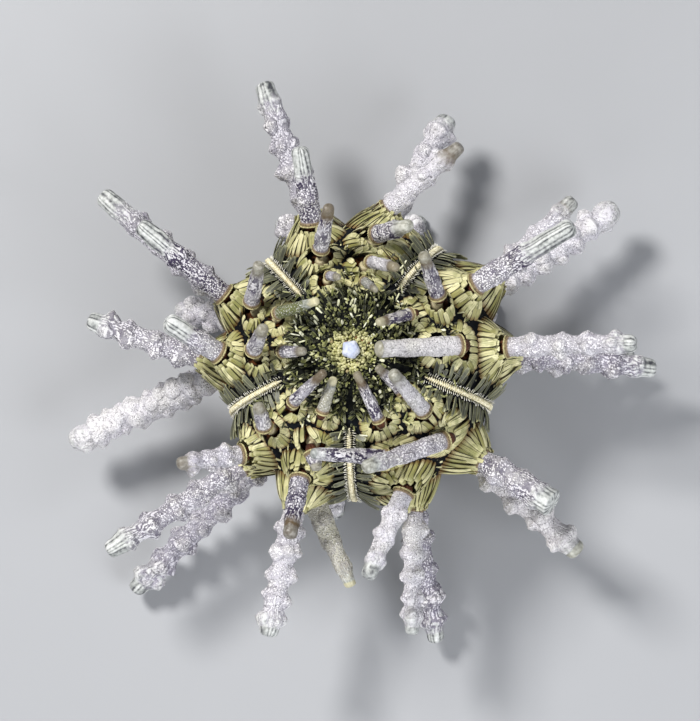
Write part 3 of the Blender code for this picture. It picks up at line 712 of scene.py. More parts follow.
def knobFields(spine, looks, around, along, dice):  # swelling of the whorls, and the knobs on them
    row = spine["row"]
    swell, knobs = np.zeros_like(around), np.zeros_like(around)
    if not shaft["whorlPitch"][row] or spine["length"] < shaft["whorlLeast"]:
        return swell, knobs
    start = shaft["ringAt"][row] + shaft["whorlFrom"]
    end = spine["length"] - shaft["whorlTo"]
    size = shaft["knobLength"][row]
    whorls = max(1, round((end - start) / shaft["whorlPitch"][row] * looks["crowd"]))
    for whorl in range(whorls):
        middle = start + (end - start) * (whorl + 0.55 + dice.uniform(-0.08, 0.08)) / whorls
        strength = dice.uniform(0.7, 1.15)
        tilt = shaft["swellTilt"] * np.cos(around + dice.uniform(0.0, 6.3))
        reach = (along - middle + tilt) / shaft["swellLength"]
        swell = np.maximum(swell, np.exp(-(reach**2)) * strength)
        twist = dice.uniform(0.0, 360.0)
        for index in range(shaft["knobsInWhorl"]):
            if dice.random() < shaft["knobsLeftOut"]:
                continue
            turn = math.radians(twist + 360.0 * (index + dice.uniform(-0.25, 0.25)) / shaft["knobsInWhorl"])
            place = middle + dice.uniform(-0.4, 0.4) * size
            scale = dice.uniform(*shaft["knobScale"])
            aside = np.abs(np.mod(around - turn + math.pi, 2.0 * math.pi) - math.pi) * spine["radius"]
            reach = along - place
            reach = reach / np.where(reach < 0.0, shaft["knobBelow"], shaft["knobAbove"]) / (size * scale)
            reach = np.clip(reach**2 + (aside / (shaft["knobWidth"] * size * scale)) ** 2, 0.0, 1.0)
            knobs = np.maximum(knobs, (1.0 - reach) ** 0.8 * scale)
    return swell, knobs


def grainField(looks, length, grains, around, along, stage, dice, rough):
    # rows of grains that wander down the shaft, and aren't evenly wide
    streak = rise(stage, stageAt["streaks"], 0.12)
    clear = rise(stage, stageAt["flutes"], 0.06)
    wander = 0.3 * np.sin(1.7 * along + 3.0 * around + dice.uniform(0.0, 6.0)) * (1.0 - 0.8 * clear)
    wander += 0.22 * np.sin(4.3 * along + 5.0 * around + dice.uniform(0.0, 6.0)) * (1.0 - clear)
    for waves in (2, 3, 5):
        wander += 0.4 * np.sin(waves * around + dice.uniform(0.0, 6.0))
    across = around / (2.0 * math.pi) * grains + wander
    ridge = np.clip(np.cos(math.pi * (across - np.rint(across))), 0.0, 1.0) ** 0.8

    # each row has its own beat, and grains of its own sizes
    column = np.rint(across).astype(int) % grains
    phase = rough.uniform(0.0, 6.3, grains)[column]
    step = along / length + 0.5 * (column % 2) + 0.6 * np.sin(1.3 * along + phase) + 1.0
    size = rough.uniform(0.3, 1.2, (grains, int(step.max()) + 2))[column, np.rint(step).astype(int)]
    bead = 0.65 * (1.0 - 0.7 * streak) * (1.0 - clear) * (1.0 - np.cos(math.pi * (step - np.rint(step))))

    # on the clear tip two rows run together into one flute, or all are smooth
    pair = np.rint(across / 2.0).astype(int) % (grains // 2)
    fluteSize = rough.uniform(0.5, 1.0, grains // 2)[pair]
    flute = np.abs(np.cos(math.pi * across / 2.0)) ** 0.7
    ridge = ridge * (1.0 - clear) + flute * clear
    grain = ridge * (1.0 - bead) * (size * (1.0 - clear) + fluteSize * clear)
    smooth = (1.0 - looks["ridges"]) * clear
    return grain * (1.0 - smooth) + 0.4 * smooth, smooth, phase[0]


def placedAlong(spine, along, around, distance, dice):  # round a middle line that sways a little
    direction = spine["direction"]
    side = unit(np.cross(direction, up))
    other = np.cross(side, direction)
    sway = shaft["sway"] * spine["length"] * np.clip(along / spine["length"], 0.0, 1.0) ** 2
    bend = side * dice.uniform(-1.0, 1.0) + other * dice.uniform(-0.5, 0.5)
    if spine["row"] >= spines["footRow"]:  # the two lowest rows stay straight
        bend = bend * 0.0
    points = spine["joint"] + direction * spread(along) + bend * spread(sway)
    points += side * spread(distance * np.cos(around)) + other * spread(distance * np.sin(around))
    points[:, 2] = np.maximum(points[:, 2], 0.0)
    return points


def spineShape(spine):
    row = spine["row"]
    looks = plainLooks | rowLooks[row] | oddLooks.get((spine["column"], row), {})
    dice = random.Random(1000.0 * spine["azimuth"] + row)
    rough = np.random.default_rng(int(10.0 * spine["azimuth"]) + row)
    radius = spine["radius"] * looks["thick"]
    grains = 2 * max(5, round(math.pi * radius / shaft["grainPitch"]))
    stops = ringStops(spine, looks)
    mesh = tube(grains * shaft["samples"], len(stops))
    corner = getPoints(mesh)
    ring = np.rint((corner[:, 2] + 0.5) * (len(stops) - 1)).astype(int)
    around = np.arctan2(corner[:, 1], corner[:, 0])
    along, thickness, stage = stops[ring].T
    onShaft = rise(stage, stageAt["grains"], 0.06)
    clear = rise(stage, stageAt["flutes"], 0.06)

    length = shaft["grainLength"][row]
    grain, smooth, phase = grainField(looks, length, grains, around, along, stage, dice, rough)
    swell, knobs = knobFields(spine, looks, around, along, dice)
    lump = np.sin(3.3 * along + 4.0 * around + phase) * np.sin(2.1 * along - 3.0 * around)
    relief = grain * shaft["grainHeight"] * (1.0 - 0.6 * smooth)
    raised = swell * shaft["swellHeight"][row] + knobs * shaft["knobHeight"][row] * (1.0 + 0.2 * lump)
    relief += raised * looks["knobs"] * (1.0 - 0.7 * clear)
    mill = (stage > stageAt["millFrom"]) & (stage < stageAt["millTo"])
    mill = np.where(mill, shaft["millDepth"] * np.cos(around * shaft["millTeeth"]), 0.0)
    wave = shaft["waveDepth"] * np.sin(along * 1.3 + 2.0 * around + dice.uniform(0.0, 6.0)) * onShaft
    distance = radius * thickness * (1.0 + mill + wave)
    distance += relief * onShaft * np.clip(thickness / 0.6, 0.0, 1.0)

    shape = dict(
        points=placedAlong(spine, along, around, distance, dice),
        uv=np.stack([np.mod(around / (2.0 * math.pi), 1.0), along / spine["length"]], axis=-1),
        grain=np.clip(grain, 0.0, 1.0),
        knob=np.clip(knobs * looks["knobs"], 0.0, 1.0),
        stage=stage,
    )
    looks["purple"] = looks["purple"] * (1.15 - 0.45 * along / spine["length"])
    for name, varies in spineColours.items():
        shape[name] = np.ones(len(along)) * looks[name] * dice.uniform(1.0 - varies, 1.0 + varies)
    return mesh, shape


def spineFinish():
    finish = Finish("spine shaft", 0.62)
    grain = finish.attribute("grain")
    stage = finish.attribute("stage")
    olive = finish.attribute("olive")
    white = finish.attribute("white")
    cream = finish.attribute("cream")
    knob = finish.attribute("knob")
    streaky = finish.attribute("streaks")
    pebble = finish.cells(0.27)
    patches = finish.noise(2.2, 3.0).between(0.36, 0.62)
    streak = 1.0 - (1.0 - stage.between(0.7, 0.82)) * (1.0 - streaky)
    # the gaps between the grains, dark purple below: partly the spine's own purple, partly painted shade in
    # the grooves
    gap = pebble * (0.8 - 0.5 * streak) + (1.0 - grain) * (0.4 + 0.45 * streak)
    gap = gap.between(0.52, 0.78)
    depth = 0.62 + 0.3 * patches + 0.35 * stage.between(0.68, 0.8) + streaky * (patches - 0.6) * 0.6
    depth = finish.attribute("purple") * depth
    pits = finish.noise(0.45, 4.0).between(0.58, 0.68) * (0.75 - 0.35 * white) * (1.0 - 0.6 * cream)
    # painted shade in the crevice round the foot of each knob
    creaseShade = knob.between(0.01, 0.1) * (1.0 - knob.between(0.12, 0.3))
    body = finish.layers(
        finish.mix(white, (176, 173, 189), (238, 236, 242)),
        (finish.noise(0.7).between(0.4, 0.75) * 0.35, (208, 202, 216)),
        (finish.noise(4.0).between(0.5, 0.7) * 0.3, (214, 214, 198)),
        (olive, (106, 112, 68)),
        (cream * (1.0 - olive) * 0.6, (206, 198, 156)),
        (knob.between(0.3, 0.9) * 0.5, (252, 250, 250)),
        # whitest in the middle of each grain: the grains' own white, brightened as a painted highlight
        ((1.0 - pebble.between(0.15, 0.45)) * 0.6, (252, 250, 252)),
        # painted shade and the spine's own purple in the gaps between the grains
        (gap * depth, (54, 45, 74)),
        (pits, (66, 60, 74)),
        # painted shade round the knobs' feet
        (creaseShade * 0.3, (92, 84, 104)),
    )
    # the clear tip: its own grey-green, lighter on the flutes' ridges as a painted highlight and darker in
    # the grooves as painted shade
    tip = finish.ramp(
        grain * 0.6 + finish.noise(0.6, 4.0) * 0.9 - 0.13,
        (0.34, (46, 49, 54)),
        (0.5, (124, 128, 126)),
        (0.68, (184, 188, 184)),
        (1.0, (233, 235, 234)),
    )
    clear = (stage + finish.noise(0.9) * 0.1 + grain * 0.1).between(0.89, 1.0)
    late = stage + (finish.noise(0.7) - 0.5) * 0.12
    band = late.between(0.79, 0.89) * (1.0 - 0.6 * late.between(0.89, 0.95))
    body = finish.layers(
        body,
        (clear * 0.9, finish.mix(finish.attribute("brown"), tip, (110, 98, 74))),
        (band * finish.attribute("band"), (94, 78, 56)),
        (late.between(0.87, 0.97) * cream, (206, 200, 164)),
    )
    base = finish.ramp(
        stage,
        (0.0, (58, 26, 14)),
        (0.1, (112, 60, 26)),
        (0.17, (96, 78, 40)),
        (0.21, (196, 188, 140)),
        (0.27, (192, 182, 132)),
        (0.31, (118, 100, 62)),
        (0.42, (146, 128, 100)),
        (0.5, (144, 130, 130)),
    )
    finish.feed(finish.inputs["Roughness"], 0.66 - 0.3 * clear)
    height = (1.0 - gap) * (1.0 - clear) + finish.noise(0.2, 4.0) * 0.4 - pits * 0.5
    return finish.done(finish.mix(stage.between(0.45, 0.53), base, body), height, 0.14, 1.0)


def makeSpines():
    finish = spineFinish()
    for name in columnNames:
        own = [spine for spine in spineList if spine["column"] == name and not spine["missing"]]
        parts = [spineShape(spine) for spine in own]
        cell = 1.0 / len(own)
        for index, (_, shape) in enumerate(parts):  # side by side on the map
            shape["uv"] = (shape["uv"] + np.array([index, 0.0])) * np.array([cell, 1.0])
        mesh = joined(parts, cell)
        piece(f"spines_{name}", mesh, finish, "spine_zone", f"spine_zone_{name}")
        print("spines", name, len(mesh.polygons), "faces")


makeSpines()

# Flat blades: one shape, bent and set in place many times over
bladeShape = dict(columns=3, rows=6, root=0.66, fullFrom=0.5, tipFrom=0.84, tipEnd=0.66, crisp=40.0)
mapPatch = 0.003  # width of a small shape on the map


def bladeHalfWidth(along):
    opening = bladeShape["root"] + (1.0 - bladeShape["root"]) * rise(along, 0.0, bladeShape["fullFrom"])
    closing = rise(along, bladeShape["tipFrom"], 1.0 - bladeShape["tipFrom"])
    return opening * np.sqrt(1.0 - closing**2 * (1.0 - bladeShape["tipEnd"] ** 2))


def blade(root, lie, normal, side, length, width, thickness, tint, spot, curl=0.22):
    return dict(
        root=root,
        leave=unit(lie + normal * curl),  # its directions at the root and at the tip
        arrive=unit(lie - normal * curl),
        side=unit(side - lie * side.dot(lie)),
        length=length,
        width=width,
        thickness=thickness,
        tint=tint,
        spot=spot,  # the root's place on the map
    )


def bladeMesh(blades):
    blades = gather(blades)
    count = len(blades["length"])
    template = slab(bladeShape["columns"], bladeShape["rows"])
    corner = getPoints(template)
    across, along, face = corner[:, 0] * 2.0, corner[:, 1] + 0.5, corner[:, 2]
    root, leave, arrive, side, spot = (
        blades[key][:, None, :] for key in ("root", "leave", "arrive", "side", "spot")
    )
    length, width, thickness = (spread(blades[key]) for key in ("length", "width", "thickness"))
    course = leave * spread(along - along**2 / 2.0) + arrive * spread(along**2 / 2.0)
    tangent = unit(leave * spread(1.0 - along) + arrive * spread(along))
    outward = unit(np.cross(tangent, side))
    half = bladeHalfWidth(along) * width / 2.0
    crown = (1.0 - 0.25 * across**2) * (1.0 - 0.5 * along**3)
    depth = (face * crown - 0.5 * (1.0 - face) * crown) * thickness
    mesh = dressed(
        repeated(template, count),
        root + course * spread(length) + side * spread(across * half) + outward * spread(depth),
        spot + np.stack([across * 0.5, along], axis=-1) * mapPatch,
        across=np.tile(across, count),
        along=np.tile(along, count),
        tint=np.repeat(blades["tint"], len(corner)),
    )
    mesh.shade_smooth()
    mesh.set_sharp_from_angle(angle=math.radians(bladeShape["crisp"]))
    return mesh


socketRings = (  # place on the way out, and the tip's place under the milled ring and off the shaft
    dict(share=1.0, under=0.6, off=0.42, fromRow=0),
    dict(share=0.66, under=0.1, off=0.15, fromRow=2),
)


def ringSpots(across, down, pitch, zigzag, dice):  # evenly spaced places round a rounded plate
    turn = np.linspace(0.0, 2.0 * math.pi, 241)
    wide = across * signedPower(np.cos(turn), 2.0 / socket["corner"])
    long = down * signedPower(np.sin(turn), 2.0 / socket["corner"])
    shift = np.maximum(wide * math.copysign(1.0, zigzag), 0.0) / across
    wide += zigzag * shift * (1.0 - 2.0 * np.abs(long) / down)
    run = np.concatenate([[0.0], np.cumsum(np.hypot(np.diff(wide), np.diff(long)))])
    count = max(6, round(run[-1] / pitch))
    places = [(index + dice.uniform(-0.18, 0.18)) % count * run[-1] / count for index in range(count)]
    return np.interp(places, run, wide), np.interp(places, run, long)


def plateSpot(spine, wide, long):  # a place this far across and down the spine's plate
    plateAzimuth, _, plateRun, _ = spine["plate"]
    polar = polarAt(min(max(plateRun + long, socket["end"]), mouthRun - socket["end"]))
    return shellSpot(polar, plateAzimuth + math.degrees(wide / rimAt(polar)))


def plateSize(spine):  # half across, half down, and the zigzag's reach with its side
    _, plateTurn, plateRun, plateHalf = spine["plate"]
    across = rimAt(polarAt(plateRun)) * math.radians(plateTurn) - socket["edge"]
    hand = 1.0 if spine["column"].endswith(zoneLetters[0]) else -1.0
    return across, plateHalf, hand * min(socket["zigzag"], across * socket["zigzagShare"])


def socketBlade(spine, ring, outer, place, dice):
    row = spine["row"]
    foot, normal, spot = place
    root = foot - normal * socket["sunk"]
    away = root - spine["joint"]
    away -= spine["direction"] * away.dot(spine["direction"])
    under = ring["under"] - socket["past"][row] + socket["backBy"] * outer + dice.uniform(-0.3, 0.2)
    off = ring["off"] + socket["outBy"] * outer + dice.uniform(-0.08, 0.12)
    target = spine["joint"] + spine["direction"] * (spine["ringAt"] - under)
    target = target + unit(away) * (spine["radius"] * socket["clearOf"] + off)
    lie = (target - root) * socket["reach"][row]
    length = float(np.clip(np.linalg.norm(lie), socket["shortest"], socket["length"][row]))
    lie = unit(lie)
    if lie.dot(normal) < socket["rise"]:
        lie = unit(lie + normal * (socket["rise"] - lie.dot(normal)))
    inward = unit(spine["foot"] - foot)
    side = np.cross(normal, inward) + inward * dice.uniform(-0.12, 0.12)
    side = unit(side + normal * dice.uniform(-0.22, 0.22))
    lie = unit(lie + side * dice.uniform(-0.12, 0.12))
    length *= dice.uniform(0.86, 1.05)
    width = socket["width"][row] * dice.uniform(0.8, 1.1)
    return blade(root, lie, normal, side, length, width, socket["thickness"], dice.random(), spot)


def sliver(spine, dice):  # a small blade in a corner of the plate
    across, down, _ = plateSize(spine)
    wide = across * dice.choice((-1.0, 1.0)) * dice.uniform(0.85, 1.1)
    long = down * dice.choice((-1.0, 1.0)) * dice.uniform(0.7, 1.02)
    foot, normal, spot = plateSpot(spine, wide, long)
    inward = unit(spine["foot"] - foot)
    side = unit(np.cross(normal, inward))
    lie = unit(inward + normal * dice.uniform(0.3, 1.2) + side * dice.uniform(-0.8, 0.8))
    length = dice.uniform(*socket["sliverLength"])
    width = dice.uniform(*socket["sliverWidth"])
    root = foot - normal * socket["sunk"]
    return blade(root, lie, normal, side, length, width, socket["sliverThickness"], dice.random(), spot)


def socketBlades(spine, dice):
    row = spine["row"]
    across, down, zigzag = plateSize(spine)
    blades = []
    for ring in socketRings:
        if row < ring["fromRow"]:
            continue
        share = ring["share"]
        spots = ringSpots(across * share, down * share, socket["pitch"][row], zigzag * share, dice)
        for index, (wide, long) in enumerate(zip(*spots)):
            blades.append(socketBlade(spine, ring, index % 2, plateSpot(spine, wide, long), dice))
    blades += [sliver(spine, dice) for _ in range(socket["slivers"])]
    return blades


def paddleFinish():
    finish = Finish("paddle", 0.42)
    along = finish.attribute("along")
    across = finish.attribute("across")
    tint = finish.attribute("tint")
    stripes = (across * 9.0 + tint * 20.0).sine()
    body = finish.layers(
        finish.mix(tint, (152, 148, 84), (246, 240, 190)),
        (finish.noise(1.4).between(0.45, 0.68) * 0.6, (132, 138, 82)),
        ((stripes * 0.5 + 0.5) * 0.25, (118, 116, 64)),
        # painted shadow: the blades' edges and sides are darkened nearly to black, as the shade between
        # neighbouring blades
        ((across * across).between(0.6, 1.0) * 0.95, (44, 38, 20)),
        ((1.0 - along.between(0.0, 0.35)) * 0.85, (112, 78, 40)),
        (along.between(0.82, 1.0) * 0.5, (226, 222, 172)),
    )
    return finish.done(body, stripes * 0.5 + finish.noise(0.25, 3.0), 0.04, 0.7)


def makePaddles():
    finish = paddleFinish()
    for index, name in enumerate(columnNames):
        dice = random.Random(socket["seed"] + index)
        blades = []
        for spine in spineList:
            if spine["column"] == name:
                blades += socketBlades(spine, dice)
        piece(f"paddles_{name}", bladeMesh(blades), finish, "spine_zone", f"spine_zone_{name}")
        print("paddles", name, len(blades))


makePaddles()

# Foot zones: a cream strip with toothed edges, white needles and dark blades on either side
footZone = dict(
    runFrom=2.2,
    stripTo=1.0,  # short of the mouth
    halfWidth=0.24,
    height=0.34,
    depth=0.25,
    milling=0.08,
    pitch=0.34,
    samples=5,
    columns=8,
    tooth=0.2,
    bladePitch=0.8,
    bladesFrom=0.8,  # past the strip's start
    bladesTo=2.0,  # short of the mouth
    bladeAt=0.85,
    bladeLength=2.8,
    bladeWidth=0.6,
    bladeThickness=0.1,
    bladeLift=18.0,
    bladeCurl=0.18,
    bladeSunk=0.2,
    bladeOnMap=3.0,  # degrees off the middle line
    needlesFrom=0.2,
    needlesTo=1.4,
    needleAt=(0.4, 0.5),
    needleLean=(30.0, 75.0),
    needleLength=0.5,
    needleThickness=0.085,
    needleTop=0.35,  # thickness of the top against the root
    needleSides=5,
    seed=5,
)


def footZoneFrame(zone, run):  # point, normal and sideways direction on the zone's middle line
    azimuth = shell["footZones"][zone]
    return (*onShell(polarAt(run), azimuth), heading(azimuth + 90.0))


def stripShape(zone):
    start, end = footZone["runFrom"], mouthRun - footZone["stripTo"]
    rows = round((end - start) / footZone["pitch"] * footZone["samples"])
    mesh = slab(footZone["columns"], rows)
    corner = getPoints(mesh)
    across, along, top = corner[:, 0] * 2.0, corner[:, 1] + 0.5, corner[:, 2]
    run = start + (end - start) * along
    point, normal, side = footZoneFrame(zone, run)
    beat = np.cos(2.0 * math.pi * run / footZone["pitch"] + np.where(across < 0.0, 0.0, math.pi))
    narrow = np.clip(np.minimum(along, 1.0 - along) / 0.03, 0.4, 1.0)
    half = (footZone["halfWidth"] + footZone["tooth"] * np.maximum(beat, 0.0)) * narrow
    ridge = footZone["height"] * (1.0 - np.abs(across) ** 6)
    ridge += footZone["milling"] * beat * (1.0 - np.abs(np.abs(across) - 0.6))
    height = np.where(top > 0.5, ridge, -footZone["depth"])
    return mesh, dict(
        points=point + normal * spread(height) + side * spread(across * half),
        uv=np.stack([(zone + (across + 1.0) / 2.0) / shell["zones"], along * 0.5 + 0.5 * top], axis=-1),
        # pit: the low notches between the teeth at the strip's edges, drawn near black in the finish as
        # painted shade
        pit=np.clip(-beat, 0.0, 1.0) * rise(np.abs(across), 0.55, 0.3),
    )


def footBlades(zone, dice):
    blades = []
    azimuth = shell["footZones"][zone]
    count = round((mouthRun - footZone["bladesTo"] - footZone["runFrom"]) / footZone["bladePitch"])
    for index in range(count):
        for hand in (-1.0, 1.0):
            step = index + 0.5 * (hand > 0.0) + dice.uniform(-0.2, 0.2)
            run = footZone["runFrom"] + footZone["bladesFrom"] + footZone["bladePitch"] * step
            point, normal, side = footZoneFrame(zone, run)
            side = side * hand
            root = point + side * (footZone["bladeAt"] + dice.uniform(-0.1, 0.15))
            root = root - normal * footZone["bladeSunk"]
            lift = math.radians(footZone["bladeLift"] + dice.uniform(-10.0, 16.0))
            down = unit(np.cross(normal, side))
            lie = unit(side * math.cos(lift) + normal * math.sin(lift) + down * dice.uniform(-0.22, 0.22))
            flat = unit(np.cross(normal, lie) + normal * dice.uniform(-0.6, 0.6))
            narrow = min(1.0, 0.55 + 0.45 * math.sin(math.pi * run / mouthRun))
            length = footZone["bladeLength"] * narrow * dice.uniform(0.7, 1.3)
            width = footZone["bladeWidth"] * dice.uniform(0.8, 1.15)
            tint = dice.random()
            thickness, curl = footZone["bladeThickness"], footZone["bladeCurl"]
            spot = shellMap(polarAt(run), azimuth + hand * footZone["bladeOnMap"])
            blades.append(blade(root, lie, normal, flat, length, width, thickness, tint, spot, curl))
    return blades


def footNeedles(zone, dice):
    needles = []
    azimuth = shell["footZones"][zone]
    count = round((mouthRun - footZone["needlesTo"] - footZone["runFrom"]) / footZone["pitch"])
    for index in range(count):
        for hand in (-1.0, 1.0):
            step = index + 0.5 * (hand > 0.0)
            run = footZone["runFrom"] + footZone["needlesFrom"] + footZone["pitch"] * step
            point, normal, side = footZoneFrame(zone, run)
            lean = math.radians(dice.uniform(*footZone["needleLean"]))
            direction = side * hand * math.sin(lean) + normal * math.cos(lean)
            direction = direction + np.cross(normal, side) * dice.uniform(-0.2, 0.2)
            needles.append(
                dict(
                    root=point + side * hand * dice.uniform(*footZone["needleAt"]),
                    direction=unit(direction),
                    length=footZone["needleLength"] * dice.uniform(0.6, 1.3),
                    spot=shellMap(polarAt(run), azimuth + hand),
                )
            )
    return needles


def needleMesh(needles):
    needles = gather(needles)
    count = len(needles["length"])
    template = tube(footZone["needleSides"], 2, footZone["needleTop"])
    corner = getPoints(template) + np.array([0.0, 0.0, 0.5])
    direction = needles["direction"]
    side = unit(np.cross(direction, np.array([0.31, 0.17, 0.93]))) * footZone["needleThickness"]
    other = np.cross(direction, side)
    return dressed(
        repeated(template, count),
        placed(corner, needles["root"], side, other, direction * spread(needles["length"])),
        needles["spot"][:, None, :] + corner[:, [0, 2]] * mapPatch,
        along=np.tile(corner[:, 2], count),
    )


def creamFinish():
    finish = Finish("cream strip", 0.7)
    body = finish.layers(
        finish.mix(finish.noise(0.35).between(0.4, 0.65), (246, 240, 212), (204, 194, 150)),
        (finish.noise(4.0).between(0.52, 0.68) * 0.4, (204, 184, 140)),
        # painted shade: near black in the notches between the teeth
        (finish.attribute("pit").between(0.15, 0.6), (22, 20, 12)),
    )
    return finish.done(body, finish.noise(0.15, 3.0), 0.03, 0.6)


def needleFinish():
    finish = Finish("needle", 0.6)
    body = finish.layers(
        finish.mix(finish.attribute("along"), (214, 210, 186), (254, 252, 244)),
        (finish.noise(0.8).between(0.5, 0.7) * 0.3, (180, 176, 140)),
    )
    return finish.done(body, finish.noise(0.1), 0.02, 0.4)


def darkBladeFinish():
    finish = Finish("dark blade", 0.42)
    across = finish.attribute("across")
    tint = finish.attribute("tint")
    rim = (across * across).between(0.5, 0.8)
    rim = rim + finish.attribute("along").between(0.84, 0.95) * (1.0 - rim)
    stripes = (across * 8.0 + tint * 15.0).sine()
    body = finish.layers(
        finish.mix(tint, (42, 44, 34), (108, 110, 90)),
        ((stripes * 0.5 + 0.5) * 0.35, (26, 28, 18)),
        (finish.noise(1.1).between(0.5, 0.7) * 0.35, (136, 138, 108)),
        (rim * (0.2 + 0.45 * tint), (180, 180, 140)),
    )
    return finish.done(body, stripes * 0.5 + finish.noise(0.2, 3.0), 0.025, 0.6)


def makeFootZones():
    nodes = [f"foot_zone_{zone + 1}" for zone in range(shell["zones"])]
    dice = random.Random(footZone["seed"])
    blades, needles = [], []
    for zone in range(shell["zones"]):
        blades += footBlades(zone, dice)
        needles += footNeedles(zone, dice)
    strips = joined([stripShape(zone) for zone in range(shell["zones"])])
    piece("footZoneStrips", strips, creamFinish(), "foot_zone", *nodes)
    piece("footZoneBlades", bladeMesh(blades), darkBladeFinish(), "foot_zone", *nodes)
    piece("footZoneNeedles", needleMesh(needles), needleFinish(), "foot_zone", *nodes)
    print("foot zones:", len(blades), "blades,", len(needles), "needles")


makeFootZones()

# The shell under them: sunk round each socket, and lowered under the disc and the mouth skin
shellSkin = dict(
    across=400,
    down=170,
    areoleDepth=0.4,
    areoleShare=1.75,  # of the spine's half thickness
    capDrop=0.9,
    poreBand=(0.7, 2.1),
    poreDepth=0.12,
)


def shellMesh():
    bm = bmesh.new()
    bmesh.ops.create_uvsphere(bm, u_segments=shellSkin["across"], v_segments=shellSkin["down"], radius=1.0)
    mesh = newMesh(bm)
    corner = getPoints(mesh)
    polar = np.degrees(np.arccos(np.clip(corner[:, 2], -1.0, 1.0)))
    azimuth = np.degrees(np.arctan2(corner[:, 1], corner[:, 0]))
    points, normals, spots = shellSpot(polar, azimuth)
    areole = np.zeros(len(points))
    for spine in spineList:
        reach = np.linalg.norm(points - spine["foot"], axis=1)
        reach = reach / (shellSkin["areoleShare"] * spine["radius"])
        areole = np.maximum(areole, 1.0 - rise(reach, 0.75, 0.35))
    far = 9.0
    foot = np.full(len(points), far)  # distance from the nearest foot zone's middle line
    for middle in shell["footZones"]:
        aside = np.abs(np.radians(turnFrom(middle, azimuth)))
        foot = np.minimum(foot, np.where(aside < 1.0, aside * rimAt(polar), far))
    low, high = shellSkin["poreBand"]
    pores = rise(foot, low, 0.2) * rise(-foot, -high, 0.3)
    cap = rise(-polar, -shell["discPolar"], 1.5) + rise(polar, shell["mouthPolar"], 1.5)
    height = -shellSkin["areoleDepth"] * areole - shellSkin["poreDepth"] * pores - shellSkin["capDrop"] * cap
    return dressed(mesh, points + normals * spread(height), spots, 1.0, areole=areole)


def shellFinish():
    finish = Finish("shell", 0.8, specular=0.1)
    specks = 1.0 - finish.cells(0.55).between(0.12, 0.34)
    muscle = finish.mix(finish.noise(0.5, 3.0).between(0.4, 0.7), (24, 12, 6), (108, 62, 28))
    body = finish.layers(
        # near black: partly the skin's own dark colour, partly painted shade between the sockets and blades
        finish.mix(finish.noise(1.5).between(0.35, 0.7), (6, 8, 12), (20, 23, 28)),
        (specks * finish.noise(1.8).between(0.5, 0.62) * 0.7, (150, 148, 116)),
        (finish.attribute("areole"), muscle),
    )
    return finish.done(body, specks * 0.8 + finish.noise(0.3, 3.0), 0.1, 0.8)


# The bosses: a cone, its platform and the ball that the spine turns on
boss = dict(
    sides=20,
    cone=((0.0, -0.7), (1.5, -0.7), (1.42, -0.3), (1.05, 0.35), (0.9, 0.5), (0.76, 0.5), (0.58, 0.44)),
    ball=((0.5, 0.62), (0.62, 0.86), (0.58, 1.12), (0.4, 1.3), (0.18, 1.36), (0.0, 1.37)),
    onMap=0.002,
)


def bossMesh():
    template = spun(boss["cone"] + boss["ball"], boss["sides"])
    corner = getPoints(template)
    points = []
    for spine in spineList:
        side = unit(np.cross(spine["normal"], heading(spine["azimuth"] + 90.0)))
        size = spine["radius"] / spines["radius"][3]
        other = np.cross(spine["normal"], side)
        points.append(placed(corner * size, spine["foot"], side, other, spine["normal"]))
    spots = [spine["spot"] + corner[:, :2] * boss["onMap"] for spine in spineList]
    count = len(spineList)
    ball = np.tile(rise(corner[:, 2], 0.1, 0.25), count)
    return dressed(repeated(template, count), points, spots, ball=ball)


def bossFinish():
    finish = Finish("boss", 0.45)
    ball = finish.mix(finish.noise(0.6), (206, 196, 160), (170, 158, 120))
    foot = finish.mix(finish.noise(0.5, 3.0).between(0.4, 0.65), (34, 15, 9), (128, 70, 30))
    body = finish.mix(finish.attribute("ball"), foot, ball)
    return finish.done(body, finish.noise(0.3, 3.0), 0.05, 0.5)


allZones = [f"spine_zone_{name}" for name in columnNames]
allZones += [f"foot_zone_{zone + 1}" for zone in range(shell["zones"])]
piece("shell", shellMesh(), shellFinish(), "spine_zone", *allZones)
piece("bosses", bossMesh(), bossFinish(), "spine_zone", *allZones)
print("shell made")

# Apical disc: a dark skin with chips and grains, paler towards the nub; the skin is drawn near black as
# painted shade between them
disc = dict(
    skinRings=40,
    skinSides=120,
    skinThickness=1.6,
    skinDrop=0.12,  # under the shell's own curve
    skinWaves=0.08,
    chips=900,
    chipFrom=2.7,
    chipLength=1.1,
    chipWidth=0.28,
    chipSunk=0.3,
    chipCurl=0.15,
    marginChips=520,
    marginTo=9.0,
    marginCrowd=1.8,  # how much more of them are near the disc
    lane=0.36,  # half width of the bare line from each foot zone into the disc
    laneSide=1.1,  # chips this near the line lie along it
    laneFrom=4.6,
    footLane=0.7,  # half width of the line down the foot zone
    turnBetween=137.5,  # from one chip or grain to the next
    grainOnMap=0.0015,
    seed=9,
)
discChip = dict(leans=(5.0, 75.0), lengths=(0.5, 1.5), widths=(0.4, 1.7), thickness=0.1)
marginChip = dict(leans=(35.0, 78.0), lengths=(0.7, 1.6), widths=(0.6, 1.1), thickness=0.12)
looseTurns = 70.0  # how far chips turn from the way out, and how far beside a bare line
lanedTurns = 12.0
grainZones = (
    dict(between=(1.25, 3.3), count=240, radius=(0.15, 0.28)),
    dict(between=(3.3, 6.2), count=190, radius=(0.08, 0.2)),
)


def domeHeight(radius):
    return shell["halfHeight"] * math.sqrt(1.0 - (radius / shell["radius"]) ** 2) + shell["centre"]


def polarOut(radius):  # the polar angle this far from the axis
    return math.degrees(math.asin(radius / shell["radius"]))


def evenly(low, high, share):  # the radius inside which this share of a ring's ground lies
    return math.sqrt(low**2 + (high**2 - low**2) * share)


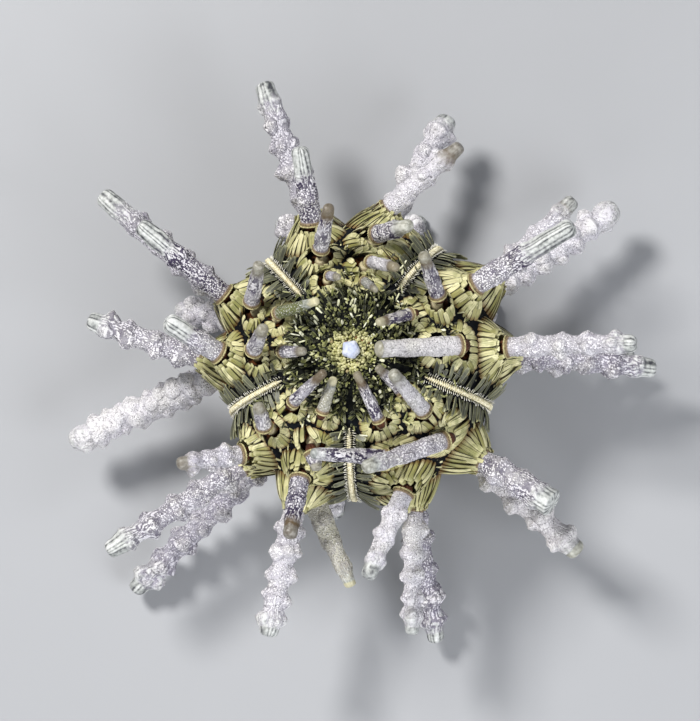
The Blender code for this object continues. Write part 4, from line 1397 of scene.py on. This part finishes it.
def discSkin():
    rim = float(rimAt(shell["discPolar"] + 1.0))
    outline = [(radius, domeHeight(radius) - disc["skinThickness"]) for radius in (0.0, rim)]
    for step in range(disc["skinRings"] + 1):
        radius = rim * (1.0 - step / disc["skinRings"])
        outline.append((radius, domeHeight(radius) - disc["skinDrop"]))
    mesh = spun(outline, disc["skinSides"])
    points = getPoints(mesh)
    waves = np.sin(points[:, 0] * 2.3 + 1.0) * np.sin(points[:, 1] * 2.1) * disc["skinWaves"]
    onTop = points[:, 2] > domeHeight(0.0) - disc["skinThickness"] - 0.1
    points[:, 2] += np.where(onTop, waves, 0.0)
    return dressed(mesh, points, rim=np.hypot(points[:, 0], points[:, 1]) / rim)


def chip(kind, polar, azimuth, turns, grown, dice):
    point, normal, spot = shellSpot(polar, azimuth)
    lean = math.radians(dice.uniform(*kind["leans"]))
    way = heading(azimuth + dice.gauss(0.0, turns))
    lie = unit(way * math.sin(lean) + normal * math.cos(lean))
    side = unit(np.cross(normal, lie) + normal * dice.uniform(-0.4, 0.4))
    length = disc["chipLength"] * grown * dice.uniform(*kind["lengths"])
    width = disc["chipWidth"] * dice.uniform(*kind["widths"])
    root = point - normal * disc["chipSunk"]
    tint = dice.random()
    return blade(root, lie, normal, side, length, width, kind["thickness"], tint, spot, disc["chipCurl"])


def discChips(dice):
    rim = float(rimAt(shell["discPolar"]))
    chips = []
    for index in range(disc["chips"]):
        share = (index + dice.random()) / disc["chips"]
        radius = evenly(disc["chipFrom"], rim, share)
        azimuth = disc["turnBetween"] * index
        asides = [math.radians(azimuth - middle) for middle in shell["footZones"]]
        offLane = min(abs(math.sin(aside)) * radius for aside in asides if math.cos(aside) > 0.0)
        if radius > disc["laneFrom"] and offLane < disc["lane"]:
            continue
        turns = lanedTurns if offLane < disc["laneSide"] else looseTurns
        grown = 0.65 + 0.5 * share
        chips.append(chip(discChip, polarOut(radius), azimuth, turns, grown, dice))
    return chips


def isFree(run, polar, azimuth):  # neither on a spine's plate nor on the line of a foot zone
    radius = rimAt(polar)
    for spine in spineList:
        plateAzimuth, _, plateRun, _ = spine["plate"]
        across, down, _ = plateSize(spine)
        aside = math.radians(abs(turnFrom(plateAzimuth, azimuth))) * radius
        if (aside / across) ** 3 + (abs(run - plateRun) / down) ** 3 < 1.0:
            return False
    lane = disc["footLane"] if run > footZone["runFrom"] else disc["lane"]
    offLane = min(abs(turnFrom(middle, azimuth)) for middle in shell["footZones"])
    return math.radians(offLane) * radius >= lane


def marginChips(dice):  # between the disc and the sockets, and down between the sockets
    chips = []
    while len(chips) < disc["marginChips"]:
        run = disc["marginTo"] * dice.random() ** disc["marginCrowd"]
        polar = polarAt(run)
        azimuth = 360.0 * dice.random()
        if isFree(run, polar, azimuth):
            chips.append(chip(marginChip, polar, azimuth, looseTurns, 1.0, dice))
    return chips


def discGrains(dice):
    template = ball(2)
    corner = getPoints(template)
    points, inner, tints, spots = [], [], [], []
    for zone in grainZones:
        for index in range(zone["count"]):
            radius = evenly(*zone["between"], (index + 0.5) / zone["count"]) + dice.uniform(-0.12, 0.12)
            azimuth = disc["turnBetween"] * index + dice.uniform(-5.0, 5.0)
            point, normal, spot = shellSpot(polarOut(radius), azimuth)
            size = dice.uniform(*zone["radius"])
            stretch = corner * np.array([1.0, dice.uniform(0.65, 1.0), dice.uniform(0.8, 1.4)]) * size
            stretch += 0.14 * size * np.sin(7.0 * corner[:, [1, 2, 0]] + dice.uniform(0.0, 6.0))
            side = heading(dice.uniform(0.0, 360.0))
            side = unit(side - normal * side.dot(normal))
            edge = 2.3 + 0.5 * math.sin(math.radians(3.0 * azimuth)) + dice.uniform(-0.3, 0.3)
            points.append(placed(stretch, point, side, np.cross(normal, side), normal))
            inner.append(1.0 - rise(radius, edge, 1.4))
            tints.append(dice.random())
            spots.append(spot + corner[:, :2] * disc["grainOnMap"])
    inner, tints = (np.repeat(values, len(corner)) for values in (inner, tints))
    return dressed(repeated(template, len(points)), points, spots, inner=inner, tint=tints)


def discSkinFinish():
    finish = Finish("disc skin", 0.8, specular=0.1)
    body = finish.layers(
        # near black: the skin's own dark colour, deepened as painted shade under and between the chips and
        # grains
        finish.mix(finish.noise(0.8, 3.0).between(0.35, 0.7), (7, 9, 12), (26, 28, 24)),
        (1.0 - finish.attribute("rim").between(0.22, 0.38), (72, 68, 34)),
    )
    return finish.done(body, 1.0 - finish.cells(0.4), 0.12, 0.8)


def chipFinish():
    finish = Finish("disc chip", 0.5)
    tint = finish.attribute("tint")
    across = finish.attribute("across")
    body = finish.ramp(
        tint,
        (0.0, (10, 12, 7)),
        (0.48, (36, 41, 20)),
        (0.66, (112, 116, 62)),
        (0.84, (200, 200, 140)),
        (1.0, (250, 250, 232)),
    )
    body = finish.layers(
        body,
        ((across * across).between(0.4, 0.85) * (0.1 + 0.6 * tint), (206, 208, 152)),
        (finish.noise(0.4).between(0.5, 0.7) * 0.4, (48, 52, 26)),
    )
    return finish.done(body, finish.noise(0.2, 3.0), 0.03, 0.6)


def grainFinish():
    finish = Finish("disc grain", 0.5)
    tint = finish.attribute("tint")
    nearNub = finish.attribute("inner")
    outer = finish.mix(tint, (26, 31, 14), (160, 164, 96))
    inner = finish.mix(tint, (172, 170, 104), (242, 238, 192))
    body = finish.layers(
        finish.mix(nearNub, outer, inner),
        (tint.between(0.95, 0.97) * nearNub, (136, 100, 58)),
        (finish.noise(0.3).between(0.5, 0.75) * 0.35, (176, 176, 112)),
    )
    return finish.done(body, finish.noise(0.12, 3.0), 0.03, 0.7)


nub = dict(radius=1.22, dimple=0.25, dimpleWidth=0.16, lobes=0.07, lumps=0.04, squareness=0.8)


def nubMesh():
    mesh = ball(5)
    corner = getPoints(mesh)
    around = np.arctan2(corner[:, 1], corner[:, 0])
    level = np.hypot(corner[:, 0], corner[:, 1])
    lobes = nub["lobes"] * np.cos(5.0 * around + 0.6) * level
    lumps = np.sin(9.0 * corner[:, 0] + 1.0) * np.sin(8.0 * corner[:, 1]) * np.sin(7.0 * corner[:, 2] + 2.0)
    points = signedPower(corner, nub["squareness"]) * spread(1.0 + lobes + nub["lumps"] * lumps)
    middle = (nubLow.z + nubHigh.z) / 2.0 / mm
    half = (nubHigh.z - nubLow.z) / 2.0 / mm
    dimple = nub["dimple"] * np.exp(-((level / nub["dimpleWidth"]) ** 2)) * (corner[:, 2] > 0.0)
    points[:, :2] *= nub["radius"]
    points[:, 2] = points[:, 2] * half - dimple + middle
    return dressed(mesh, points)


def nubFinish():
    finish = Finish("nub", 0.6)
    body = finish.layers(
        finish.mix(finish.noise(0.9).between(0.35, 0.7), (186, 196, 222), (220, 224, 238)),
        (finish.noise(0.35, 3.0).between(0.6, 0.72) * 0.4, (150, 160, 196)),
    )
    return finish.done(body, finish.noise(0.25, 4.0), 0.05, 0.7)


def makeDisc():
    dice = random.Random(disc["seed"])
    chips = bladeMesh(discChips(dice))
    margin = bladeMesh(marginChips(dice))
    grains = discGrains(dice)
    piece("apicalSkin", discSkin(), discSkinFinish(), "apical_disc", "apical_disc", "periproct")
    piece("apicalChips", chips, chipFinish(), "apical_disc", "apical_disc")
    piece("marginChips", margin, chipFinish(), "apical_disc", "apical_disc")
    piece("apicalGrains", grains, grainFinish(), "periproct", "periproct")
    piece("analNub", nubMesh(), nubFinish(), "anal_nub", "anal_nub")
    print("apical disc made")


makeDisc()

# Mouth: a skin of overlapping scales round five teeth
mouth = dict(
    rings=7,
    outer=8.0,
    inner=2.7,
    domed=0.9,  # how much higher its middle would be than its edge
    skinThickness=0.6,
    skinSides=60,
    scalePitch=1.05,
    scaleLength=1.35,
    scaleThickness=0.16,
    scaleDrops=(0.22, 0.02),  # how far a scale falls as it leaves its root and at its end
    scaleOverlap=1.15,
    holeDepth=2.2,
    toothSides=12,
    toothRings=10,
    seed=3,
)


def mouthHeight(radius):
    rim = shell["centre"] + shell["halfHeight"] * math.cos(math.radians(shell["mouthPolar"]))
    return rim + mouth["domed"] * (1.0 - radius / mouth["outer"])


def mouthSkin():
    outer, inner = mouth["outer"], mouth["inner"] - 0.4
    rim, lip = mouthHeight(outer), mouthHeight(inner)
    ceiling = lip + mouth["holeDepth"]
    top = ceiling + mouth["skinThickness"]
    outline = [(0.0, ceiling), (inner - 0.3, ceiling), (inner, lip + 0.4), (inner + 0.3, lip - 0.1)]
    outline += [(outer, rim), (outer - 0.4, rim + 1.2), (inner + 1.0, top), (0.0, top)]
    return spun(outline, mouth["skinSides"])


def mouthScales(dice):
    scales = []
    for ring in range(mouth["rings"]):
        radius = mouth["outer"] - (mouth["outer"] - mouth["inner"] - 0.5) * ring / (mouth["rings"] - 1)
        count = round(2.0 * math.pi * radius / mouth["scalePitch"])
        for index in range(count):
            azimuth = 360.0 * (index + 0.5 * (ring % 2)) / count + dice.uniform(-2.0, 2.0)
            out = heading(azimuth)
            leave, arrive = (unit(-out - up * drop) for drop in mouth["scaleDrops"])
            scales.append(
                dict(
                    root=out * radius + up * (mouthHeight(radius) + 0.1),
                    leave=leave,
                    arrive=arrive,
                    side=heading(azimuth + 90.0),
                    length=mouth["scaleLength"] * dice.uniform(0.9, 1.1),
                    width=mouth["scalePitch"] * mouth["scaleOverlap"],
                    thickness=mouth["scaleThickness"],
                    tint=dice.random(),
                    spot=np.array([0.5, 0.5]) + out[:2] * radius / mouth["outer"] * 0.45,
                )
            )
    return scales


def teethMesh():
    template = tube(mouth["toothSides"], mouth["toothRings"])
    corner = getPoints(template)
    ceiling = mouthHeight(mouth["inner"]) + mouth["holeDepth"]
    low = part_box("teeth")[0].z / mm
    share = corner[:, 2] + 0.5
    thickness = 0.22 + 0.38 * share
    outward = 0.42 + 1.2 * share - 0.35 * share**2 + corner[:, 1] * thickness * 0.7
    shape = np.stack([outward, corner[:, 0] * thickness, low + (ceiling - low) * share], axis=-1)
    middles = [sum(columns) / 2.0 for columns in shell["columns"]]
    points = [placed(shape, np.zeros(3), heading(middle), heading(middle + 90.0), up) for middle in middles]
    return dressed(repeated(template, len(middles)), points)


def mouthFinish():
    finish = Finish("mouth skin", 0.7)
    body = finish.mix(finish.noise(1.2, 3.0), (88, 72, 44), (140, 120, 80))
    return finish.done(body, finish.noise(0.4, 3.0), 0.1, 0.7)


def scaleFinish():
    finish = Finish("mouth scale", 0.6)
    body = finish.layers(
        finish.mix(finish.attribute("tint"), (168, 150, 104), (200, 186, 142)),
        (1.0 - finish.attribute("along").between(0.0, 0.6), (110, 84, 48)),
        (finish.noise(0.5).between(0.5, 0.7) * 0.4, (134, 122, 80)),
    )
    return finish.done(body, finish.noise(0.2, 3.0), 0.03, 0.6)


def toothFinish():
    finish = Finish("tooth", 0.35)
    body = finish.mix(finish.noise(0.8), (236, 230, 212), (214, 202, 172))
    return finish.done(body, finish.noise(0.3), 0.02, 0.4)


def makeMouth():
    scales = bladeMesh(mouthScales(random.Random(mouth["seed"])))
    piece("mouthSkin", mouthSkin(), mouthFinish(), "peristome", "peristome")
    piece("mouthScales", scales, scaleFinish(), "peristome", "peristome")
    piece("mouthTeeth", teethMesh(), toothFinish(), "teeth", "teeth")
    print("mouth made")


makeMouth()

# Floor, light and camera
studio = dict(
    floorHalf=0.6,
    floorColour=(168, 170, 174),
    floorPatches=(160, 162, 166),
    world=(0.9, 0.93, 1.0),
    worldStrength=0.17,
    azimuth=38.0,
    elevation=80.5,
    distance=0.45,
    frameHeight=0.1045,
    sensor=36.0,
    offRight=-0.00146,  # the shell's centre is this far from the picture's middle
    offUp=0.00015,
)
lamps = (  # place, size, watts and colour
    ((-0.22, 0.22, 0.42), 0.14, 2.9, (1.0, 0.98, 0.95)),
    ((0.34, -0.26, 0.34), 0.3, 1.7, (0.97, 0.98, 1.0)),
    ((-0.05, -0.4, 0.2), 0.3, 0.8, (1.0, 1.0, 1.0)),
)


def makeFloor():
    bm = bmesh.new()
    bmesh.ops.create_grid(bm, x_segments=8, y_segments=8, size=studio["floorHalf"])
    floor = bpy.data.objects.new("floor", newMesh(bm))
    bpy.context.scene.collection.objects.link(floor)
    finish = Finish("floor", 0.7)
    colour = finish.mix(finish.noise(8.0) * 0.15, studio["floorColour"], studio["floorPatches"])
    finish.feed(finish.inputs["Base Color"], colour)
    floor.data.materials.append(finish.material)


def makeLights():
    world = bpy.data.worlds.new("studio")
    world.use_nodes = True
    world.node_tree.nodes["Background"].inputs["Color"].default_value = (*studio["world"], 1.0)
    world.node_tree.nodes["Background"].inputs["Strength"].default_value = studio["worldStrength"]
    bpy.context.scene.world = world
    target = Vector((0.0, 0.0, shell["centre"] * mm))
    for index, (place, size, watts, colour) in enumerate(lamps):
        light = bpy.data.lights.new(f"lamp{index}", "AREA")
        light.shape = "DISK"
        light.size = size
        light.energy = watts
        light.color = colour
        lamp = bpy.data.objects.new(f"lamp{index}", light)
        lamp.location = place
        lamp.rotation_euler = (Vector(place) - target).to_track_quat("Z", "Y").to_euler()
        bpy.context.scene.collection.objects.link(lamp)


def makeCamera():
    turn, climb = math.radians(studio["azimuth"]), math.radians(studio["elevation"])
    back = Vector((math.sin(turn) * math.cos(climb), -math.cos(turn) * math.cos(climb), math.sin(climb)))
    right = Vector((0.0, 1.0, 0.0)).cross(back).normalized()
    over = back.cross(right)
    centre = Vector((axis.x, axis.y, shell["centre"] * mm))
    target = centre + right * studio["offRight"] + over * studio["offUp"]
    lens = bpy.data.cameras.new("camera")
    lens.sensor_width = studio["sensor"]
    lens.lens = studio["sensor"] * studio["distance"] / studio["frameHeight"]
    camera = bpy.data.objects.new("camera", lens)
    camera.matrix_world = Matrix.Translation(target + back * studio["distance"]) @ Matrix(
        (right, over, back)
    ).transposed().to_4x4()
    bpy.context.scene.collection.objects.link(camera)
    bpy.context.scene.camera = camera


makeFloor()
makeLights()
makeCamera()
bpy.context.scene.view_settings.view_transform = "Standard"
faces = [len(thing.data.polygons) for thing in bpy.data.objects if thing.type == "MESH"]
print("studio ready;", sum(faces), "faces in all")
